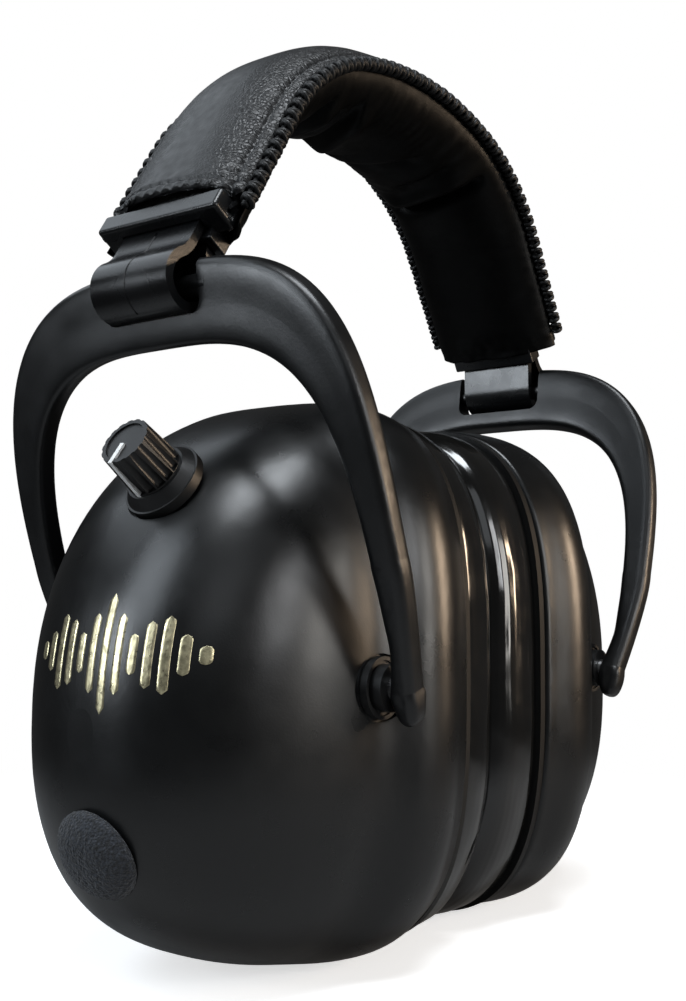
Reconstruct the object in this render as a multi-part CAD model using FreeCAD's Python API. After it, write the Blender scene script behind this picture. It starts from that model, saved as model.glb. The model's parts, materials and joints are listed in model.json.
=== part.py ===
import FreeCAD, Part
import math
import os

# Earmuff hearing protector: two electronic cups hung in yokes from a padded leather headband.
# Frame: +X across the head, Y front to back, +Z up, origin on the ground midway between the cups.
# Everything is drawn for the right side (+X) and mirrored for the left. Millimetres and degrees.

V = FreeCAD.Vector
Y_AXIS = V(0, 1, 0)

# Cup shell. "Depth" is the distance outward from the rim plane.
RIM_X = 17.6                 # rim plane of each shell, from the midplane
CUP_DEPTH = 66.3             # rim plane to the tip of the dome
DOME_HALF_WIDTH = 37.2
DOME_HALF_HEIGHT = 55.5
WIDTH_CURVE = 2.5            # roundness of the dome seen from above
HEIGHT_CURVE = 2.45          # roundness of the dome seen from the side
CUP_CENTRE_Z = 55.9          # middle of the oval at the rim
CENTRE_DROP = 8.5            # how far the oval's middle drops by the tip
SKIRT_WIDTH = 4.2            # how far the rim skirt stands out beyond the dome, at the sides
SKIRT_HEIGHT = 0.9           # the same, at top and bottom
RIM_FLARE = 0.25             # share of the skirt's flare that is left at the rim itself
FLARE_DEPTH = 10.0
SIDE_FADE = (15.0, 27.0)     # at the sides the skirt fades into the dome between these depths
TOP_FADE = (12.0, 50.0)      # at top and bottom it fades more slowly
CENTRE_CURVE = 2.2
SKIRT_POWER = 3.05           # squareness of the oval in the skirt
DOME_POWER = 3.15            # squareness where the dome begins
TIP_POWER = 2.25             # squareness at the tip
LIP_ROUND = 0.9              # rounding of the rim's outer edge
WALL = 2.6

# Seal side of the cup.
SEAL_CENTRE_Z = 55.4
PLATE_FACE_X = 15.3
PLATE_BACK_X = 17.4
PLATE_SIZE = (34.4, 53.4, 3.0)      # half width, half height, squareness
EAR_OPENING = (19.5, 32.5, 2.4)
LINER_SIZE = (26.0, 37.5, 2.5)
LINER_GAP = 0.4
LINER_DEPTH = 9.5
GASKET_SIZE = (37.3, 55.8, 3.05)
CUSHION_SIZE = (36.3, 55.3, 3.0)
CUSHION_FACE_X = 0.35
CUSHION_BACK_X = 15.1
SCREW_Y = 23.5
SCREW_Z = 38.5
SCREW_RADIUS = 0.95
SCREW_HEAD_RADIUS = 2.4
SCREW_LENGTH = 10.5
BOSS_RADIUS = 3.2
BOSS_LENGTH = 32.0

# Yoke: a flat horseshoe in a plane that leans outward. "Rise" is measured up that plane.
PIVOT_X = 44.55
PIVOT_Z = 55.1
YOKE_LEAN = 17.84
YOKE_THICK = 5.4
YOKE_BOW = 2.4               # the arms bow outward by this at mid height
YOKE_OUTER = (46.9, 82.2, 20.5, 3.23, 43.9)   # half width, top, start of curve, squareness, at pivot
YOKE_INNER = (40.9, 65.9, 9.0, 3.33, 38.7)
YOKE_TIP = 6.6               # the arms end this far below the pivot
YOKE_ROUND = 1.7
YOKE_BOW_RISE = 70.0         # the arms are straight again at this rise
LEG_RISES = [0, 2, 4, 6, 8, 11, 15, 19]
LEG_RISE = 24.0              # sections are level below this rise, and fan out above it
FAN_SECTIONS = 14
NOTCH_HALF = 12.2
NOTCH_RISE = 71.0
NOTCH_CORNER = 2.5
CROSSBAR_X = 67.6
CROSSBAR_Z = 128.1
CROSSBAR_RADIUS = 2.2

# Pivots.
PIN_RADIUS = 2.0
PIN_FIT = 0.06
PIVOT_FLAT_Y = 34.9
WASHER_RADIUS = 5.7
WASHER_FLANGE = 1.5           # thickness of the broad flange by the shell
WASHER_BOSS_RADIUS = 4.3
WASHER_GAP = 0.05
WASHER_RIM = 0.7
WASHER_DISH = 0.5
WASHER_OUTER_Y = 38.4
PIN_INNER_Y = 30.6
PIN_OUTER_Y = 41.4

# Headband path: crown arc, shoulder arcs and straight tails, at the level of the edge lacing.
CROWN_Z = 187.8
CROWN_RADIUS = 85.0
CROWN_ANGLE = 17.0
SHOULDER_RADIUS = 45.0
TAIL_ANGLE = 58.0            # the tails run down and outward, this far from level
LEATHER_TAIL = 24.5          # straight stretch of leather below the shoulder
BLOCK_GAP = 0.3
BLOCK_LENGTH = 7.2
BAND_HALF = 17.1             # leather panels, inside the lacing
LACE_Y = 18.6
LACE_RADIUS = 1.45
OUTER_RISE = 7.5             # leather above the path, at the middle
INNER_DROP = 11.0            # leather below the path, at the middle
OUTER_RISE_END = 5.2         # the same at the band's ends
INNER_DROP_END = 7.6
LEATHER = 1.3
SPRING_HALF = 8.0
SPRING_THICK = 1.0
SPRING_SEAT = 2.0

# End block and hanger loop.
BLOCK_HALF = 15.5
BODY_HALF = 11.9
BODY_EDGE = 0.4
LIP_EDGE = 0.8
BLOCK_INNER = -5.8           # faces of the block, measured outward from the path
BLOCK_OUTER = 4.3
LIP_START = 2.4
LIP_INNER = -2.4
LOOP_HALF = 9.9
LOOP_THICK = 1.9
LOOP_CENTRE = (69.2, 129.0)
LOOP_RADIUS = 5.2
LOOP_WRAP = 65.0             # the loop curls on past level by this angle
LOOP_SWEEP = 7.0             # radius of the reverse curve into the block
LOOP_BEND = 4.0
LOOP_CORNER = 6.9            # the inner leg bends towards the tail this far above the curl's middle
OUTER_LEG_IN_BLOCK = 4.8
TONGUE_LENGTH = 30.0
SLOT_GAP = 0.35
SLOT_LEAD = 0.3               # the tongue's slot widens by this at its mouth
LEAD_DEPTH = 2.2
SIDE_SLOT = 1.1
RIVET_Y = 13.3
RIVET_RADIUS = 1.1
RIVET_HEAD_RADIUS = 1.35
RIVET_DOWN = 2.3
RIVET_STAND = 0.6
RIVET_SUNK = 0.6

# Volume knob, on an axis tilted up from level.
KNOB_TILT = 33.0
KNOB_SEAT = (68.2, -4.7, 91.2)    # centre of the flat under the knob
KNOB_POCKET_RADIUS = 8.3
KNOB_LIFT = 0.5
SKIRT_RADIUS = 7.9
SKIRT_EDGE = 2.0              # height of the skirt's upright edge
SKIRT_SHOULDER = 7.5
SKIRT_TALL = 3.9
SHOULDER_STEP = 0.5           # the shoulder ends this far outside the fluted body
KNOB_RADIUS = 5.5
KNOB_TOP_RADIUS = 4.95
KNOB_HEIGHT = 13.0
FLUTES = 16
FLUTE_RADIUS = 1.0
FLUTE_DEPTH = 0.75             # at the foot of the fluted body
KNOB_DISH = 0.35              # hollow in the knob's end face
KNOB_RIM = 0.9
POINTER_HALF = 0.45
POINTER_TURN = 7.0
SHAFT_RADIUS = 1.5
SHAFT_FIT = 0.02
SHAFT_BORE = 10.5              # depth of the shaft's hole in the knob
SHAFT_DEEP = 8.6               # the shaft starts this far below the seat
SHAFT_LENGTH = 17.5
POT_RADIUS = 5.4
POT_DEEP = 12.2                # back of the pot below the seat
POT_TALL = 7.0
BUSHING_RADIUS = 3.3
BUSHING_DEEP = 5.4
BUSHING_TALL = 5.2
NUT_RADIUS = 4.9
NUT_TALL = 1.5
NUT_DEEP = 5.1

# Microphone.
MIC_TILT = -24.0
MIC_SEAT = (81.0, -1.6, 26.8)
MIC_RADIUS = 8.5
MIC_PROUD = 3.0
CAPSULE_RADIUS = 4.8

CIRCLE_POINTS = 40


# ---------- small helpers ----------

def rad(angle):
    return math.radians(angle)


def fade(x, low, high):
    """Smooth step from 0 at low to 1 at high."""
    t = min(1.0, max(0.0, (x - low) / (high - low)))
    return t * t * (3 - 2 * t)


def oval_wire(x, half_width, half_height, power, centre_z):
    """Closed smooth oval in the plane X = x; a higher power is squarer."""
    points = []
    for i in range(CIRCLE_POINTS):
        a = 2 * math.pi * i / CIRCLE_POINTS
        c, s = math.cos(a), math.sin(a)
        size = (abs(c) ** power + abs(s) ** power) ** (-1.0 / power)
        points.append(V(x, half_width * c * size, centre_z + half_height * s * size))
    curve = Part.BSplineCurve()
    curve.interpolate(points, PeriodicFlag=True)
    return Part.Wire([curve.toShape()])


def oval_slab(x0, x1, size, centre_z=SEAL_CENTRE_Z):
    face = Part.Face(oval_wire(x0, size[0], size[1], size[2], centre_z))
    return face.extrude(V(x1 - x0, 0, 0))


def rod(base, direction, radius, length):
    return Part.makeCylinder(radius, length, base, direction)


def block(x0, x1, y0, y1, z0, z1):
    return Part.makeBox(x1 - x0, y1 - y0, z1 - z0, V(x0, y0, z0))


def smooth_edges(shape, radius, wanted):
    """Round the edges that pass the test, if the geometry kernel can; else leave them."""
    edges = [e for e in shape.Edges if wanted(e)]
    try:
        rounded = shape.makeFillet(radius, edges)
    except Exception:
        return shape
    return rounded if rounded.isValid() and rounded.Volume > 0 else shape


def save(name, shapes):
    """Write one node; a list becomes a group of separate solids."""
    solids = [s for shape in shapes for s in shape.Solids]
    whole = solids[0] if len(solids) == 1 else Part.makeCompound(solids)
    whole.exportStep("parts/" + name + ".step")
    print(name, len(solids), round(whole.Volume, 1), whole.isValid())


def mirrored(shapes):
    return [shape.mirror(V(0, 0, 0), V(1, 0, 0)) for shape in shapes]


def in_pair(name, shapes):
    save("right_" + name, shapes)
    save("left_" + name, mirrored(shapes))


# ---------- cup shell ----------

def dome_share(depth, full_depth, curve):
    return max(0.0, 1 - (depth / full_depth) ** curve) ** (1 / curve)


def cup_section(depth):
    """Half width, half height, squareness and centre height of the shell at a depth."""
    flare = RIM_FLARE + (1 - RIM_FLARE) * fade(depth, 0, FLARE_DEPTH)
    lip = LIP_ROUND * max(0.0, 1 - depth / LIP_ROUND) ** 2
    width = DOME_HALF_WIDTH * dome_share(depth, CUP_DEPTH, WIDTH_CURVE) - lip
    width += SKIRT_WIDTH * flare * (1 - fade(depth, *SIDE_FADE))
    height = DOME_HALF_HEIGHT * dome_share(depth, CUP_DEPTH, HEIGHT_CURVE) - lip
    height += SKIRT_HEIGHT * flare * (1 - fade(depth, *TOP_FADE))
    in_skirt = 1 - fade(depth, *SIDE_FADE)
    dome_power = DOME_POWER + (TIP_POWER - DOME_POWER) * depth / CUP_DEPTH
    power = dome_power + (SKIRT_POWER - dome_power) * in_skirt
    centre = CUP_CENTRE_Z - CENTRE_DROP * (depth / CUP_DEPTH) ** CENTRE_CURVE
    return width, height, power, centre


def cup_outer():
    depths = [0, 0.5, 1.5, 5, 10, 15, 19, 23, 27, 32, 37, 42, 47, 51.5]
    depths += [CUP_DEPTH - 0.06 - beyond for beyond in (10.6, 7.2, 4.4, 2.3, 0.9, 0)]
    wires = []
    for depth in depths:
        width, height, power, centre = cup_section(depth)
        wires.append(oval_wire(RIM_X + depth, width, height, power, centre))
    solid = Part.makeLoft(wires, True, False)
    ground = block(0, 120, -60, 60, -20, 0)
    return solid.cut(ground)


def cup_inner():
    depth_in = CUP_DEPTH - WALL
    depths = [-2, 5, 12, 20, 28, 36, 43] + [depth_in - 0.2 - beyond for beyond in (14, 9.2, 5.4, 2.6, 0.8)]
    wires = []
    for depth in depths:
        inside = max(depth, 0)
        width = (DOME_HALF_WIDTH - WALL) * dome_share(inside, depth_in, WIDTH_CURVE)
        height = (DOME_HALF_HEIGHT - WALL) * dome_share(inside, depth_in, HEIGHT_CURVE)
        centre = CUP_CENTRE_Z - CENTRE_DROP * (inside / CUP_DEPTH) ** CENTRE_CURVE
        power = DOME_POWER + (TIP_POWER - DOME_POWER) * inside / CUP_DEPTH
        wires.append(oval_wire(RIM_X + depth, width, height, power, centre))
    return Part.makeLoft(wires, True, False)


def knob_axis():
    return V(math.cos(rad(KNOB_TILT)), 0, math.sin(rad(KNOB_TILT)))


def knob_point(height):
    """A point on the knob's axis, this far out from its seat."""
    return V(*KNOB_SEAT) + knob_axis() * height


def mic_axis():
    return V(math.cos(rad(MIC_TILT)), 0, math.sin(rad(MIC_TILT)))


def mic_point(height):
    return V(*MIC_SEAT) + mic_axis() * height


def screw_places():
    return [(y, SEAL_CENTRE_Z + z) for y in (-SCREW_Y, SCREW_Y) for z in (-SCREW_Z, SCREW_Z)]


def cup_shell():
    outer = cup_outer()
    shell = outer.cut(cup_inner())
    pads = [rod(V(RIM_X, y, z), V(1, 0, 0), BOSS_RADIUS, BOSS_LENGTH) for y, z in screw_places()]
    pads.append(rod(knob_point(-3.4), knob_axis(), KNOB_POCKET_RADIUS - 0.6, 12))
    pads.append(rod(mic_point(-3.6), mic_axis(), MIC_RADIUS - 0.6, 10))
    for pad in pads:
        shell = shell.fuse(pad.common(outer))
    for side in (-1, 1):
        base = V(PIVOT_X, side * (PIN_INNER_Y - 1.0), PIVOT_Z)
        outward = V(0, side, 0)
        shell = shell.fuse(rod(base, outward, WASHER_RADIUS + 0.5, PIVOT_FLAT_Y - PIN_INNER_Y + 1.0))
    for side in (-1, 1):
        outward = V(0, side, 0)
        shell = shell.cut(rod(V(PIVOT_X, side * PIVOT_FLAT_Y, PIVOT_Z), outward, WASHER_RADIUS + 0.5, 6))
        shell = shell.cut(rod(V(PIVOT_X, side * 28, PIVOT_Z), outward, PIN_RADIUS + PIN_FIT, 12))
    shell = shell.cut(rod(knob_point(0), knob_axis(), KNOB_POCKET_RADIUS, 14))
    shell = shell.cut(rod(knob_point(-8), knob_axis(), 3.5, 12))
    shell = shell.cut(rod(mic_point(-1.0), mic_axis(), MIC_RADIUS + 0.1, 12))
    shell = shell.cut(rod(mic_point(-8), mic_axis(), CAPSULE_RADIUS + 0.1, 12))
    for y, z in screw_places():
        shell = shell.cut(rod(V(RIM_X - 1, y, z), V(1, 0, 0), SCREW_RADIUS + 0.05, SCREW_LENGTH + 1))
    return shell


# ---------- seal side ----------

def seal_plate():
    plate = oval_slab(PLATE_FACE_X, PLATE_BACK_X, PLATE_SIZE)
    plate = plate.cut(oval_slab(PLATE_FACE_X - 1, PLATE_BACK_X + 1, EAR_OPENING))
    for y, z in screw_places():
        plate = plate.cut(rod(V(PLATE_FACE_X - 1, y, z), V(1, 0, 0), SCREW_RADIUS + 0.05, 5))
        plate = plate.cut(rod(V(PLATE_FACE_X - 1, y, z), V(1, 0, 0), SCREW_HEAD_RADIUS + 0.1, 2.15))
    return plate


def plate_screws():
    screws = []
    for y, z in screw_places():
        head = rod(V(PLATE_FACE_X + 0.05, y, z), V(1, 0, 0), SCREW_HEAD_RADIUS, 1.1)
        shank = rod(V(PLATE_FACE_X + 1.0, y, z), V(1, 0, 0), SCREW_RADIUS, SCREW_LENGTH)
        slot = block(PLATE_FACE_X - 1, PLATE_FACE_X + 0.6, y - 0.3, y + 0.3, z - 3, z + 3)
        screws.append(head.fuse(shank).cut(slot))
    return screws


def shell_gasket():
    ring = oval_slab(PLATE_FACE_X, PLATE_BACK_X, GASKET_SIZE)
    inner = (PLATE_SIZE[0] + 0.1, PLATE_SIZE[1] + 0.1, PLATE_SIZE[2])
    return ring.cut(oval_slab(PLATE_FACE_X - 1, PLATE_BACK_X + 1, inner))


def ear_cushion():
    """Closed ring with a rolled face, plain here: its soft form belongs to the visual model."""
    steps = [(CUSHION_BACK_X, 1.6), (CUSHION_BACK_X - 2.5, 0.3), (8.0, 0.0), (4.0, 0.9), (1.6, 2.6),
             (CUSHION_FACE_X, 5.2)]
    half_width, half_height, power = CUSHION_SIZE
    wires = [oval_wire(x, half_width - inset, half_height - inset, power, SEAL_CENTRE_Z)
             for x, inset in steps]
    ring = Part.makeLoft(wires, True, False)
    return ring.cut(oval_slab(-1, CUSHION_BACK_X + 1, EAR_OPENING))


def ear_scrim():
    size = (EAR_OPENING[0] - 0.2, EAR_OPENING[1] - 0.2, EAR_OPENING[2])
    return oval_slab(PLATE_FACE_X + 1.0, PLATE_FACE_X + 1.8, size)


def acoustic_liner():
    return oval_slab(RIM_X + LINER_GAP, RIM_X + LINER_DEPTH, LINER_SIZE)


# ---------- electronics ----------

SPEAKER_X = RIM_X + 9.8        # rear face of the speaker's cone frame
SPEAKER_RADIUS = 15.5
SPEAKER_NECK = 11.0
SPEAKER_DEPTH = 3.2
MAGNET_RADIUS = 8.5
DISH_RADII = (13.5, 6.0)
DISH_DEPTH = 2.2
BATTERY_X = 40.4
BATTERY_RADIUS = 5.2
BATTERY_LENGTH = 44.5
BATTERY_NUB = (1.9, 0.9)       # radius and height of the cell's end nub
TRAY_X = (34.6, 46.3)
TRAY_HALF = 7.2
TRAY_WALL = 1.5
TRAY_FLOOR = 0.5
TRAY_END = 1.2
TRAY_ROOM = 3.0                # the tray is longer than the cell by this at each end
CONTACT_X = (36.8, 44.0)
CONTACT_HALF = 3.6
CONTACT_GAP = 0.3
CONTACT_THICK = 1.3
BOARD_X = (46.8, 48.4)
BOARD_HALF = 21.0
BOARD_Z = (-27.0, 25.0)        # from the middle of the seal
CHIP_TOP_X = 50.0
CHIPS = [(-9, 8, 7), (8, 12, 5), (9, -10, 4), (-8, -14, 5)]    # middle Y, middle Z and half size


def speaker():
    base = V(SPEAKER_X, 0, SEAL_CENTRE_Z)
    frame = Part.makeCone(SPEAKER_RADIUS, SPEAKER_NECK, SPEAKER_DEPTH, base, V(1, 0, 0))
    magnet = rod(base + V(SPEAKER_DEPTH, 0, 0), V(1, 0, 0), MAGNET_RADIUS, SPEAKER_DEPTH)
    dish = Part.makeCone(*DISH_RADII, DISH_DEPTH, base - V(0.01, 0, 0), V(1, 0, 0))
    return frame.fuse(magnet).cut(dish)


def battery_holder():
    half = BATTERY_LENGTH / 2 + TRAY_ROOM
    inside = TRAY_HALF - TRAY_WALL
    tray = block(*TRAY_X, -TRAY_HALF, TRAY_HALF, SEAL_CENTRE_Z - half, SEAL_CENTRE_Z + half)
    hollow = block(TRAY_X[0] - 1, TRAY_X[1] - TRAY_FLOOR, -inside, inside,
                   SEAL_CENTRE_Z - half + TRAY_END, SEAL_CENTRE_Z + half - TRAY_END)
    return tray.cut(hollow)


def battery():
    nub_radius, nub_tall = BATTERY_NUB
    low = V(BATTERY_X, 0, SEAL_CENTRE_Z - BATTERY_LENGTH / 2)
    cell = rod(low, V(0, 0, 1), BATTERY_RADIUS, BATTERY_LENGTH - nub_tall)
    nub = rod(low + V(0, 0, BATTERY_LENGTH - nub_tall), V(0, 0, 1), nub_radius, nub_tall)
    return cell.fuse(nub)


def battery_contacts():
    near = BATTERY_LENGTH / 2 + CONTACT_GAP
    far = near + CONTACT_THICK
    low = block(*CONTACT_X, -CONTACT_HALF, CONTACT_HALF, SEAL_CENTRE_Z - far, SEAL_CENTRE_Z - near)
    high = block(*CONTACT_X, -CONTACT_HALF, CONTACT_HALF, SEAL_CENTRE_Z + near, SEAL_CENTRE_Z + far)
    return [low, high]


def circuit_board():
    board = block(*BOARD_X, -BOARD_HALF, BOARD_HALF, SEAL_CENTRE_Z + BOARD_Z[0], SEAL_CENTRE_Z + BOARD_Z[1])
    for y, z, half in CHIPS:
        low = SEAL_CENTRE_Z + z - half
        board = board.fuse(block(BOARD_X[1] - 0.1, CHIP_TOP_X, y - half, y + half, low, low + 2 * half))
    return board


def volume_pot():
    body = rod(knob_point(-POT_DEEP), knob_axis(), POT_RADIUS, POT_TALL)
    bushing = rod(knob_point(-BUSHING_DEEP), knob_axis(), BUSHING_RADIUS, BUSHING_TALL)
    bore = rod(knob_point(-SHAFT_DEEP - 0.4), knob_axis(), SHAFT_RADIUS + PIN_FIT, SHAFT_DEEP + 1)
    return body.fuse(bushing).cut(bore)


def pot_nut():
    points = []
    for i in range(7):
        a = rad(60 * i)
        points.append(V(NUT_RADIUS * math.cos(a), NUT_RADIUS * math.sin(a), 0))
    nut = Part.Face(Part.makePolygon(points)).extrude(V(0, 0, NUT_TALL))
    nut = nut.cut(Part.makeCylinder(BUSHING_RADIUS + 0.05, 2 * NUT_TALL + 1, V(0, 0, -1)))
    nut.Placement = FreeCAD.Placement(knob_point(-NUT_DEEP), FreeCAD.Rotation(V(0, 0, 1), knob_axis()))
    return nut


def mic_capsule():
    return rod(mic_point(-5.6), mic_axis(), CAPSULE_RADIUS, 4.4)


def mic_windscreen():
    """Round foam cap, flat behind and domed in front."""
    sphere_radius = (MIC_RADIUS ** 2 + (MIC_PROUD + 1) ** 2) / (2 * (MIC_PROUD + 1)) * 1.15
    ball = Part.makeSphere(sphere_radius, mic_point(MIC_PROUD - sphere_radius))
    cap = rod(mic_point(-0.95), mic_axis(), MIC_RADIUS, MIC_PROUD + 2)
    return cap.common(ball)


# ---------- volume knob ----------

def on_knob_axis(shape):
    """Stand a shape drawn on +Z, with its pointer towards +X, on the knob's axis."""
    across = V(math.sin(rad(KNOB_TILT)), 0, -math.cos(rad(KNOB_TILT)))
    turn = FreeCAD.Rotation(across, Y_AXIS.negative(), knob_axis(), "ZXY")
    spin = FreeCAD.Rotation(V(0, 0, 1), POINTER_TURN)
    shape.Placement = FreeCAD.Placement(knob_point(KNOB_LIFT), turn.multiply(spin))
    return shape


def pointer_bar():
    tall = KNOB_HEIGHT + 0.12
    bar = block(0.6, KNOB_RADIUS + 0.12, -POINTER_HALF, POINTER_HALF, SKIRT_TALL, tall)
    core = block(0, KNOB_TOP_RADIUS - 0.9, -2, 2, 0, KNOB_HEIGHT - 0.7)
    side = Part.makeCone(KNOB_RADIUS + 0.15, KNOB_TOP_RADIUS + 0.12, tall - SKIRT_TALL, V(0, 0, SKIRT_TALL))
    return bar.cut(core).common(side)


def volume_knob():
    skirt = rod(V(0, 0, 0), V(0, 0, 1), SKIRT_RADIUS, SKIRT_EDGE)
    shoulder_tall = SKIRT_TALL - SKIRT_EDGE
    shoulder = Part.makeCone(SKIRT_SHOULDER, KNOB_RADIUS + SHOULDER_STEP, shoulder_tall, V(0, 0, SKIRT_EDGE))
    skirt = skirt.fuse(shoulder)
    body = Part.makeCone(KNOB_RADIUS, KNOB_TOP_RADIUS, KNOB_HEIGHT - SKIRT_TALL, V(0, 0, SKIRT_TALL))
    for i in range(FLUTES):
        a = 2 * math.pi * (i + 0.5) / FLUTES
        reach = KNOB_RADIUS + FLUTE_RADIUS - FLUTE_DEPTH
        groove = rod(V(reach * math.cos(a), reach * math.sin(a), SKIRT_TALL + 0.4), V(0, 0, 1),
                     FLUTE_RADIUS, KNOB_HEIGHT)
        body = body.cut(groove)
    body = body.cut(rod(V(0, 0, KNOB_HEIGHT - KNOB_DISH), V(0, 0, 1), KNOB_TOP_RADIUS - KNOB_RIM, 2))
    knob = skirt.fuse(body)
    knob = knob.cut(rod(V(0, 0, -1), V(0, 0, 1), SHAFT_RADIUS + SHAFT_FIT, SHAFT_BORE))
    return on_knob_axis(knob.cut(pointer_bar()))


def knob_pointer():
    return on_knob_axis(pointer_bar())


def pot_shaft():
    return rod(knob_point(-SHAFT_DEEP), knob_axis(), SHAFT_RADIUS, SHAFT_LENGTH)


# ---------- yoke ----------

def yoke_half_width(rise, outline):
    half_width, top, start, power, at_pivot = outline
    if rise < start:
        return half_width - (half_width - at_pivot) * ((start - rise) / start) ** 1.3
    share = min(1.0, (rise - start) / (top - start))
    return half_width * (1 - share ** power) ** (1 / power)


def yoke_ray(outline, a):
    """Where a ray from the middle of the yoke, at angle a above level, meets an outline."""
    near, far = 0.0, 120.0
    for _ in range(50):
        reach = (near + far) / 2
        across, rise = reach * math.cos(a), LEG_RISE + reach * math.sin(a)
        inside = rise < outline[1] and across < yoke_half_width(rise, outline)
        near, far = (reach, far) if inside else (near, reach)
    return across, rise


def yoke_place(across, rise):
    """Put a point of the yoke's own plane in space, on the bowed and leaning sheet."""
    lean = rad(YOKE_LEAN)
    reach = rise / YOKE_BOW_RISE
    bow = YOKE_BOW * 4 * reach * (1 - reach) if rise > 0 else 0
    return V(PIVOT_X + rise * math.sin(lean) + bow, across, PIVOT_Z + rise * math.cos(lean))


def yoke_section(outer, inner, round_share=1.0):
    """Flat rounded rectangle between an outer and an inner edge point."""
    far, near = yoke_place(*outer), yoke_place(*inner)
    middle = (far + near) * 0.5
    length = (far - near).Length / 2
    across = (far - near).normalize()
    outward = V(math.cos(rad(YOKE_LEAN)), 0, -math.sin(rad(YOKE_LEAN)))
    deep = YOKE_THICK / 2 * round_share
    r = min(YOKE_ROUND, 0.8 * deep, 0.8 * length)
    points = []
    for sx, sy in ((1, 1), (-1, 1), (-1, -1), (1, -1)):
        first = math.atan2(sy, sx) - math.pi / 4
        for k in range(4):
            a = first + math.pi / 2 * k / 3
            u = sx * (length - r) + r * math.cos(a)
            points.append(middle + across * u + outward * (sy * (deep - r) + r * math.sin(a)))
        if sx == sy:
            points.append(middle + outward * (sy * deep))
    curve = Part.BSplineCurve()
    curve.interpolate(points, PeriodicFlag=True)
    return Part.Wire([curve.toShape()])


def closed_skin(faces):
    shell = Part.Shell(faces)
    shell.sewShape()
    return Part.Solid(shell)


def yoke_tip_sections():
    """Rounded end of the right arm below the pivot, from the end inward."""
    sections = []
    middle = (YOKE_OUTER[4] + YOKE_INNER[4]) / 2
    half = (YOKE_OUTER[4] - YOKE_INNER[4]) / 2
    for below, share in ((1.0, 0.25), (0.94, 0.55), (0.75, 0.84), (0.42, 1.0)):
        rise = -YOKE_TIP * below
        outer = (middle + half * share, rise)
        inner = (middle - half * share, rise)
        sections.append(yoke_section(outer, inner, 0.35 + 0.65 * share))
    return sections


def yoke():
    tip = yoke_tip_sections()
    leg = []
    for rise in LEG_RISES:
        leg.append(yoke_section(*[(yoke_half_width(rise, line), rise) for line in (YOKE_OUTER, YOKE_INNER)]))
    fan = []
    for i in range(FAN_SECTIONS + 1):
        a = math.pi / 2 * i / FAN_SECTIONS
        fan.append(yoke_section(*[yoke_ray(line, a) for line in (YOKE_OUTER, YOKE_INNER)]))
    middle = FAN_SECTIONS // 2
    runs = [tip + leg[:1], leg + fan[:1], fan[:middle + 1], fan[middle:]]
    half = [face for run in runs for face in Part.makeLoft(run, False, False).Faces]
    half.append(Part.Face(tip[0]))
    body = closed_skin(half + [face.mirror(V(0, 0, 0), Y_AXIS) for face in half])
    notch_z = PIVOT_Z + NOTCH_RISE * math.cos(rad(YOKE_LEAN))
    notch = block(50, 90, -NOTCH_HALF, NOTCH_HALF, notch_z, notch_z + 30)
    body = body.cut(smooth_edges(notch, NOTCH_CORNER, lambda e: abs(e.BoundBox.ZMax - notch_z) < 0.1
                                 and e.BoundBox.XLength > 10))
    bar = rod(V(CROSSBAR_X, -NOTCH_HALF - 1.5, CROSSBAR_Z), Y_AXIS, CROSSBAR_RADIUS, 2 * NOTCH_HALF + 3)
    body = body.fuse(bar)
    for side in (-1, 1):
        base = V(PIVOT_X, side * 36, PIVOT_Z)
        body = body.cut(rod(base, V(0, side, 0), PIN_RADIUS + 0.02, PIN_OUTER_Y + 0.1 - 36))
    return body


def pivot_washers():
    """Spacer at each pivot: a broad dished flange by the shell and a narrower boss by the arm."""
    rings = []
    for side in (-1, 1):
        outward = V(0, side, 0)
        base = V(PIVOT_X, side * (PIVOT_FLAT_Y + WASHER_GAP), PIVOT_Z)
        flange = rod(base, outward, WASHER_RADIUS, WASHER_FLANGE)
        dish_base = base + outward * (WASHER_FLANGE - WASHER_DISH)
        dish = rod(dish_base, outward, WASHER_RADIUS - WASHER_RIM, WASHER_DISH)
        boss = rod(base, outward, WASHER_BOSS_RADIUS, WASHER_OUTER_Y - PIVOT_FLAT_Y - WASHER_GAP)
        bore = rod(base - outward, outward, PIN_RADIUS + PIN_FIT, WASHER_OUTER_Y)
        rings.append(flange.cut(dish).fuse(boss).cut(bore))
    return rings


def pivot_pins():
    length = PIN_OUTER_Y - PIN_INNER_Y
    return [rod(V(PIVOT_X, side * PIN_INNER_Y, PIVOT_Z), V(0, side, 0), PIN_RADIUS, length)
            for side in (-1, 1)]


# ---------- headband ----------

def path_points():
    """Ends of the path's arcs, right half, as pairs of X and Z."""
    crown_centre = (0.0, CROWN_Z - CROWN_RADIUS)
    a, b = rad(CROWN_ANGLE), rad(TAIL_ANGLE)
    crown_end = (CROWN_RADIUS * math.sin(a), crown_centre[1] + CROWN_RADIUS * math.cos(a))
    shoulder = (crown_end[0] - SHOULDER_RADIUS * math.sin(a), crown_end[1] - SHOULDER_RADIUS * math.cos(a))
    tail = (shoulder[0] + SHOULDER_RADIUS * math.sin(b), shoulder[1] + SHOULDER_RADIUS * math.cos(b))
    return crown_centre, crown_end, shoulder, tail


TAIL_DOWN = V(math.cos(rad(TAIL_ANGLE)), 0, -math.sin(rad(TAIL_ANGLE)))
TAIL_OUT = V(math.sin(rad(TAIL_ANGLE)), 0, math.cos(rad(TAIL_ANGLE)))


def tail_point(down, out=0.0, y=0.0):
    """A point on the right tail: down from the shoulder's end, and outward from the path."""
    tail = path_points()[3]
    return V(tail[0], y, tail[1]) + TAIL_DOWN * down + TAIL_OUT * out


def band_half_length(tail_length):
    crown = CROWN_RADIUS * rad(CROWN_ANGLE)
    shoulder = SHOULDER_RADIUS * rad(TAIL_ANGLE - CROWN_ANGLE)
    return crown + shoulder + tail_length


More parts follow.
